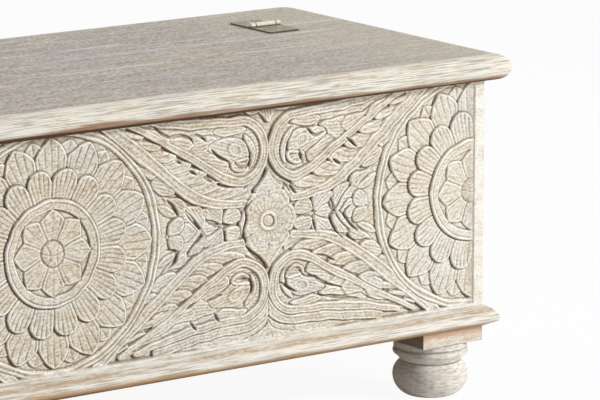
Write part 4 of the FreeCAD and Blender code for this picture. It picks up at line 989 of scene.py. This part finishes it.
# the whole front face: places across and up it, how high each point stands above the ground, and its marks
def carvedGrid():
    low, high = [Vector(c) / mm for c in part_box("front_panel")]
    f = {"left": low.x, "right": high.x, "bottom": low.z, "top": high.z, "face": low.y, "back": high.y}
    x0, x1 = f["left"] + edging["side"], f["right"] - edging["side"]
    z0, z1 = f["bottom"] + edging["bottom"], f["top"] - edging["top"]
    xs = np.linspace(x0, x1, round((x1 - x0) / carving["cutStep"]) + 1)
    zs = np.linspace(z0, z1, round((z1 - z0) / carving["cutStep"]) + 1)
    h = soften(carveFront(xs, zs - carving["middle"]))
    near, wide = soften(h, marking["near"]), soften(h, marking["wide"])
    # the painted shade and painted shadow are stronger round the middle medallion
    strongerMarks = 1 + marking["strongerMarks"] * (np.hypot(xs, zs[:, None] - carving["middle"]) < carving["strongerMarksRadius"])
    # painted shadow: how much higher the surface stands two rows up and three columns to the right, as if lit
    # from the upper right
    shadowSide = (np.roll(h, marking["shadowSide"], (0, 1)) - h) * strongerMarks

    def strength(height, key):
        start, depth = marking[key]
        return (height - start) / depth

    marks = {
        # the vein mark: painted shade in the fine cuts
        "vein": strength(near - h, "veinDepth") * strongerMarks,
        # the hollow mark: painted shadow on each form's left, and in the deep pits painted shade with unwashed
        # wood
        "hollow": np.maximum(strength(shadowSide, "shadowDepth"), strength(wide - h, "pitDepth")),
        # the arris mark: a painted highlight on the crests
        "arris": strength(h - near, "arrisHeight"),
    }
    for name, even in marking["edges"].items():
        values = np.clip(marks[name], 0, 1)
        values[:, :2], values[:, -2:] = even, even
        marks[name] = np.pad(values, 3, constant_values=even)
    wall, flat = edging["wall"], 2 * edging["wall"]
    xs = np.concatenate(([f["left"], x0 - flat, x0 - wall], xs, [x1 + wall, x1 + flat, f["right"]]))
    zs = np.concatenate(([f["bottom"], z0 - flat, z0 - wall], zs, [z1 + wall, z1 + flat, f["top"]]))
    return f, xs, zs, np.pad(h, 3, constant_values=carving["face"]), marks


def makeCarvedFront():
    f, xs, zs, h, marks = carvedGrid()
    y = f["face"] + carving["face"] - h
    slopeZ, slopeX = np.gradient(y, zs, xs)
    normals = np.dstack([slopeX, -np.ones(y.shape), slopeZ])
    normals /= np.linalg.norm(normals, axis=2, keepdims=True)
    cuts = np.linspace(0, len(xs) - 1, carving["strips"] + 1).astype(int)
    for number, (start, end) in enumerate(zip(cuts, cuts[1:]), 1):
        cols = np.arange(start, end + 1)
        gx, gz = np.meshgrid(xs[cols], zs)
        face = np.dstack([gx, y[:, cols], gz]).reshape(-1, 3)
        index = np.arange(len(face)).reshape(gx.shape)
        quads = np.dstack([index[:-1, :-1], index[:-1, 1:], index[1:, 1:], index[1:, :-1]]).reshape(-1, 4)
        rim = np.concatenate([index[0, :], index[1:, -1], index[-1, -2::-1], index[-2:0:-1, 0]])
        behind = face[rim] * (1, 0, 1) + (0, f["back"], 0)
        last = len(face) + np.arange(len(rim))
        walls = np.dstack([rim, last, np.roll(last, -1), np.roll(rim, -1)]).reshape(-1, 4)
        vertices = np.vstack([face, behind]) * mm
        mesh = bpy.data.meshes.new(f"carved_front_{number}")
        mesh.from_pydata(vertices.tolist(), [], quads.tolist() + walls.tolist() + [last[::-1].tolist()])
        mesh.polygons.foreach_set("use_smooth", [True] * len(quads) + [False] * (len(walls) + 1))
        for name, values in marks.items():
            data = np.zeros(len(vertices), np.float32)
            data[:len(face)] = values[:, cols].ravel()
            mesh.attributes.new(name, "FLOAT", "POINT").data.foreach_set("value", data)
        loops = np.zeros((len(mesh.loops), 3))
        loops[:len(quads) * 4] = normals[:, cols].reshape(-1, 3)[quads.ravel()]
        for polygon in mesh.polygons[len(quads):]:
            for loop in polygon.loop_indices:
                loops[loop] = polygon.normal
        mesh.normals_split_custom_set(loops.tolist())
        mesh.materials.append(carvedMango)
        piece = intoScene(f"carved_front_{number}", mesh)
        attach(piece, "box")
        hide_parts("front_panel")


makeCarvedFront()
report("carved front")


# countersunk screws, each group grown on the places of the plain ones that it replaces. Sizes are in mm
screws = {
    "sides": 28,
    "shankTop": 0.98, "shankTip": 0.35, "shankInHead": 0.4,     # shares of its radius, and of the head's depth
    "drives": {"slotted": (0.9, 0.8, 9.9), "crossed": (1.1, 1.6, 4.6)},     # width, depth, length of the cuts
    "groups": (
        # node, body, head radius, shank radius, length, drive, driven upwards
        ("box_leaf_screws", "box", 3.3, 1.7, 20.0, "slotted", False),
        ("lid_leaf_screws", "lid", 3.3, 1.7, 20.0, "slotted", False),
        ("bottom_screws", "box", 4.2, 2.1, 30.0, "crossed", False),
        ("batten_screws", "lid", 4.2, 2.1, 36.0, "crossed", True),
    ),
    "rimDepth": 0.05, "headReach": 9.0,     # these tell the plain screws' heads from shanks and each other
}
screwInputs = {
    "Places": "Geometry", "Head Radius": "Float", "Shank Radius": "Float", "Length": "Float",
    "Slot Width": "Float", "Slot Depth": "Float", "Slot Length": "Float", "Cross": "Bool", "Upwards": "Bool",
    "Seed": "Int", "Finish": "Material",
}


def screwGrower(name):
    tree = bpy.data.node_groups.new(name, "GeometryNodeTree")
    add = partial(addNode, tree)
    keys = {title: tree.interface.new_socket(title, in_out="INPUT", socket_type="NodeSocket" + kind).identifier
            for title, kind in screwInputs.items()}
    tree.interface.new_socket("Screws", in_out="OUTPUT", socket_type="NodeSocketGeometry")
    given = tree.nodes.new("NodeGroupInput").outputs

    def lowered(shape, drop):
        down = add("ShaderNodeCombineXYZ", {"Z": add("multiply", drop, -1.0)})
        return add("GeometryNodeTransform", {"Geometry": shape, "Translation": down})

    headDepth = add("subtract", given["Head Radius"], given["Shank Radius"])
    head = add("GeometryNodeMeshCone", {
        "Vertices": screws["sides"], "Radius Top": given["Head Radius"],
        "Radius Bottom": given["Shank Radius"], "Depth": headDepth})
    shank = add("GeometryNodeMeshCone", {
        "Vertices": screws["sides"], "Radius Top": add("multiply", given["Shank Radius"], screws["shankTop"]),
        "Radius Bottom": add("multiply", given["Shank Radius"], screws["shankTip"]),
        "Depth": add("subtract", given["Length"], add("multiply", headDepth, 1 - screws["shankInHead"]))})
    whole = [lowered(head, headDepth), lowered(shank, given["Length"])]
    screw = add("GeometryNodeMeshBoolean", {"Mesh 2": whole}, operation="UNION", solver="EXACT")
    cutSize = add("ShaderNodeCombineXYZ", {
        "X": given["Slot Length"], "Y": given["Slot Width"], "Z": add("multiply", given["Slot Depth"], 2.0)})
    slot = add("GeometryNodeMeshCube", {"Size": cutSize})
    turned = add("GeometryNodeTransform", {"Geometry": slot, "Rotation": (0, 0, math.pi / 2)})
    second = add("GeometryNodeSwitch", {"Switch": given["Cross"], "False": slot, "True": turned},
                 input_type="GEOMETRY")
    screw = add("GeometryNodeMeshBoolean", {"Mesh 1": screw, "Mesh 2": [slot, second]}, operation="DIFFERENCE",
                solver="EXACT")
    spin = add("FunctionNodeRandomValue", {"Min": 0.0, "Max": 2 * math.pi, "Seed": given["Seed"]}, output=1,
               data_type="FLOAT")
    rotation = add("ShaderNodeCombineXYZ", {"X": add("multiply", given["Upwards"], math.pi), "Z": spin})
    placed = add("GeometryNodeInstanceOnPoints", {
        "Points": given["Places"], "Instance": screw, "Rotation": rotation})
    real = add("GeometryNodeRealizeInstances", {"Geometry": placed})
    finished = add("GeometryNodeSetMaterial", {"Geometry": real, "Material": given["Finish"]})
    add("NodeGroupOutput", {0: finished})
    return tree, keys


def screwPlaces(name, upwards):     # the middles of the plain screws' heads
    mesh = nodes[name].data
    points = np.zeros(len(mesh.vertices) * 3)
    mesh.vertices.foreach_get("co", points)
    points = points.reshape(-1, 3)
    level = points[:, 2].min() if upwards else points[:, 2].max()
    heads = []
    for point in points[abs(points[:, 2] - level) < screws["rimDepth"] * mm]:
        head = next((h for h in heads if math.dist(h[0][:2], point[:2]) < screws["headReach"] * mm), None)
        if head is None:
            heads.append([point])
        else:
            head.append(point)
    middles = [(np.min(head, axis=0) + np.max(head, axis=0)) / 2 for head in heads]
    return [(x, y, level) for x, y, _ in middles]


def makeScrews():
    tree, keys = screwGrower("countersunk_screws")
    for seed, (name, body, head, shank, length, drive, upwards) in enumerate(screws["groups"], 1):
        base = bpy.data.meshes.new(f"{name}_places")
        base.from_pydata(screwPlaces(name, upwards), [], [])
        grown = intoScene(f"{name}_places", base)
        modifier = grown.modifiers.new("screws", "NODES")
        modifier.node_group = tree
        cutWidth, cutDepth, cutLength = screws["drives"][drive]
        for title, value in (("Head Radius", head * mm), ("Shank Radius", shank * mm), ("Length", length * mm),
                             ("Slot Width", cutWidth * mm), ("Slot Depth", cutDepth * mm),
                             ("Slot Length", cutLength * mm), ("Cross", drive == "crossed"),
                             ("Upwards", upwards), ("Seed", seed), ("Finish", screwSteel)):
            modifier[keys[title]] = value
        mesh = bpy.data.meshes.new_from_object(grown.evaluated_get(bpy.context.evaluated_depsgraph_get()))
        bpy.data.objects.remove(grown)
        piece = intoScene(f"{drive}_{name}", mesh)
        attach(piece, body)
        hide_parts(name)


makeScrews()
report("screws")


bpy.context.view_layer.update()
report("ready")
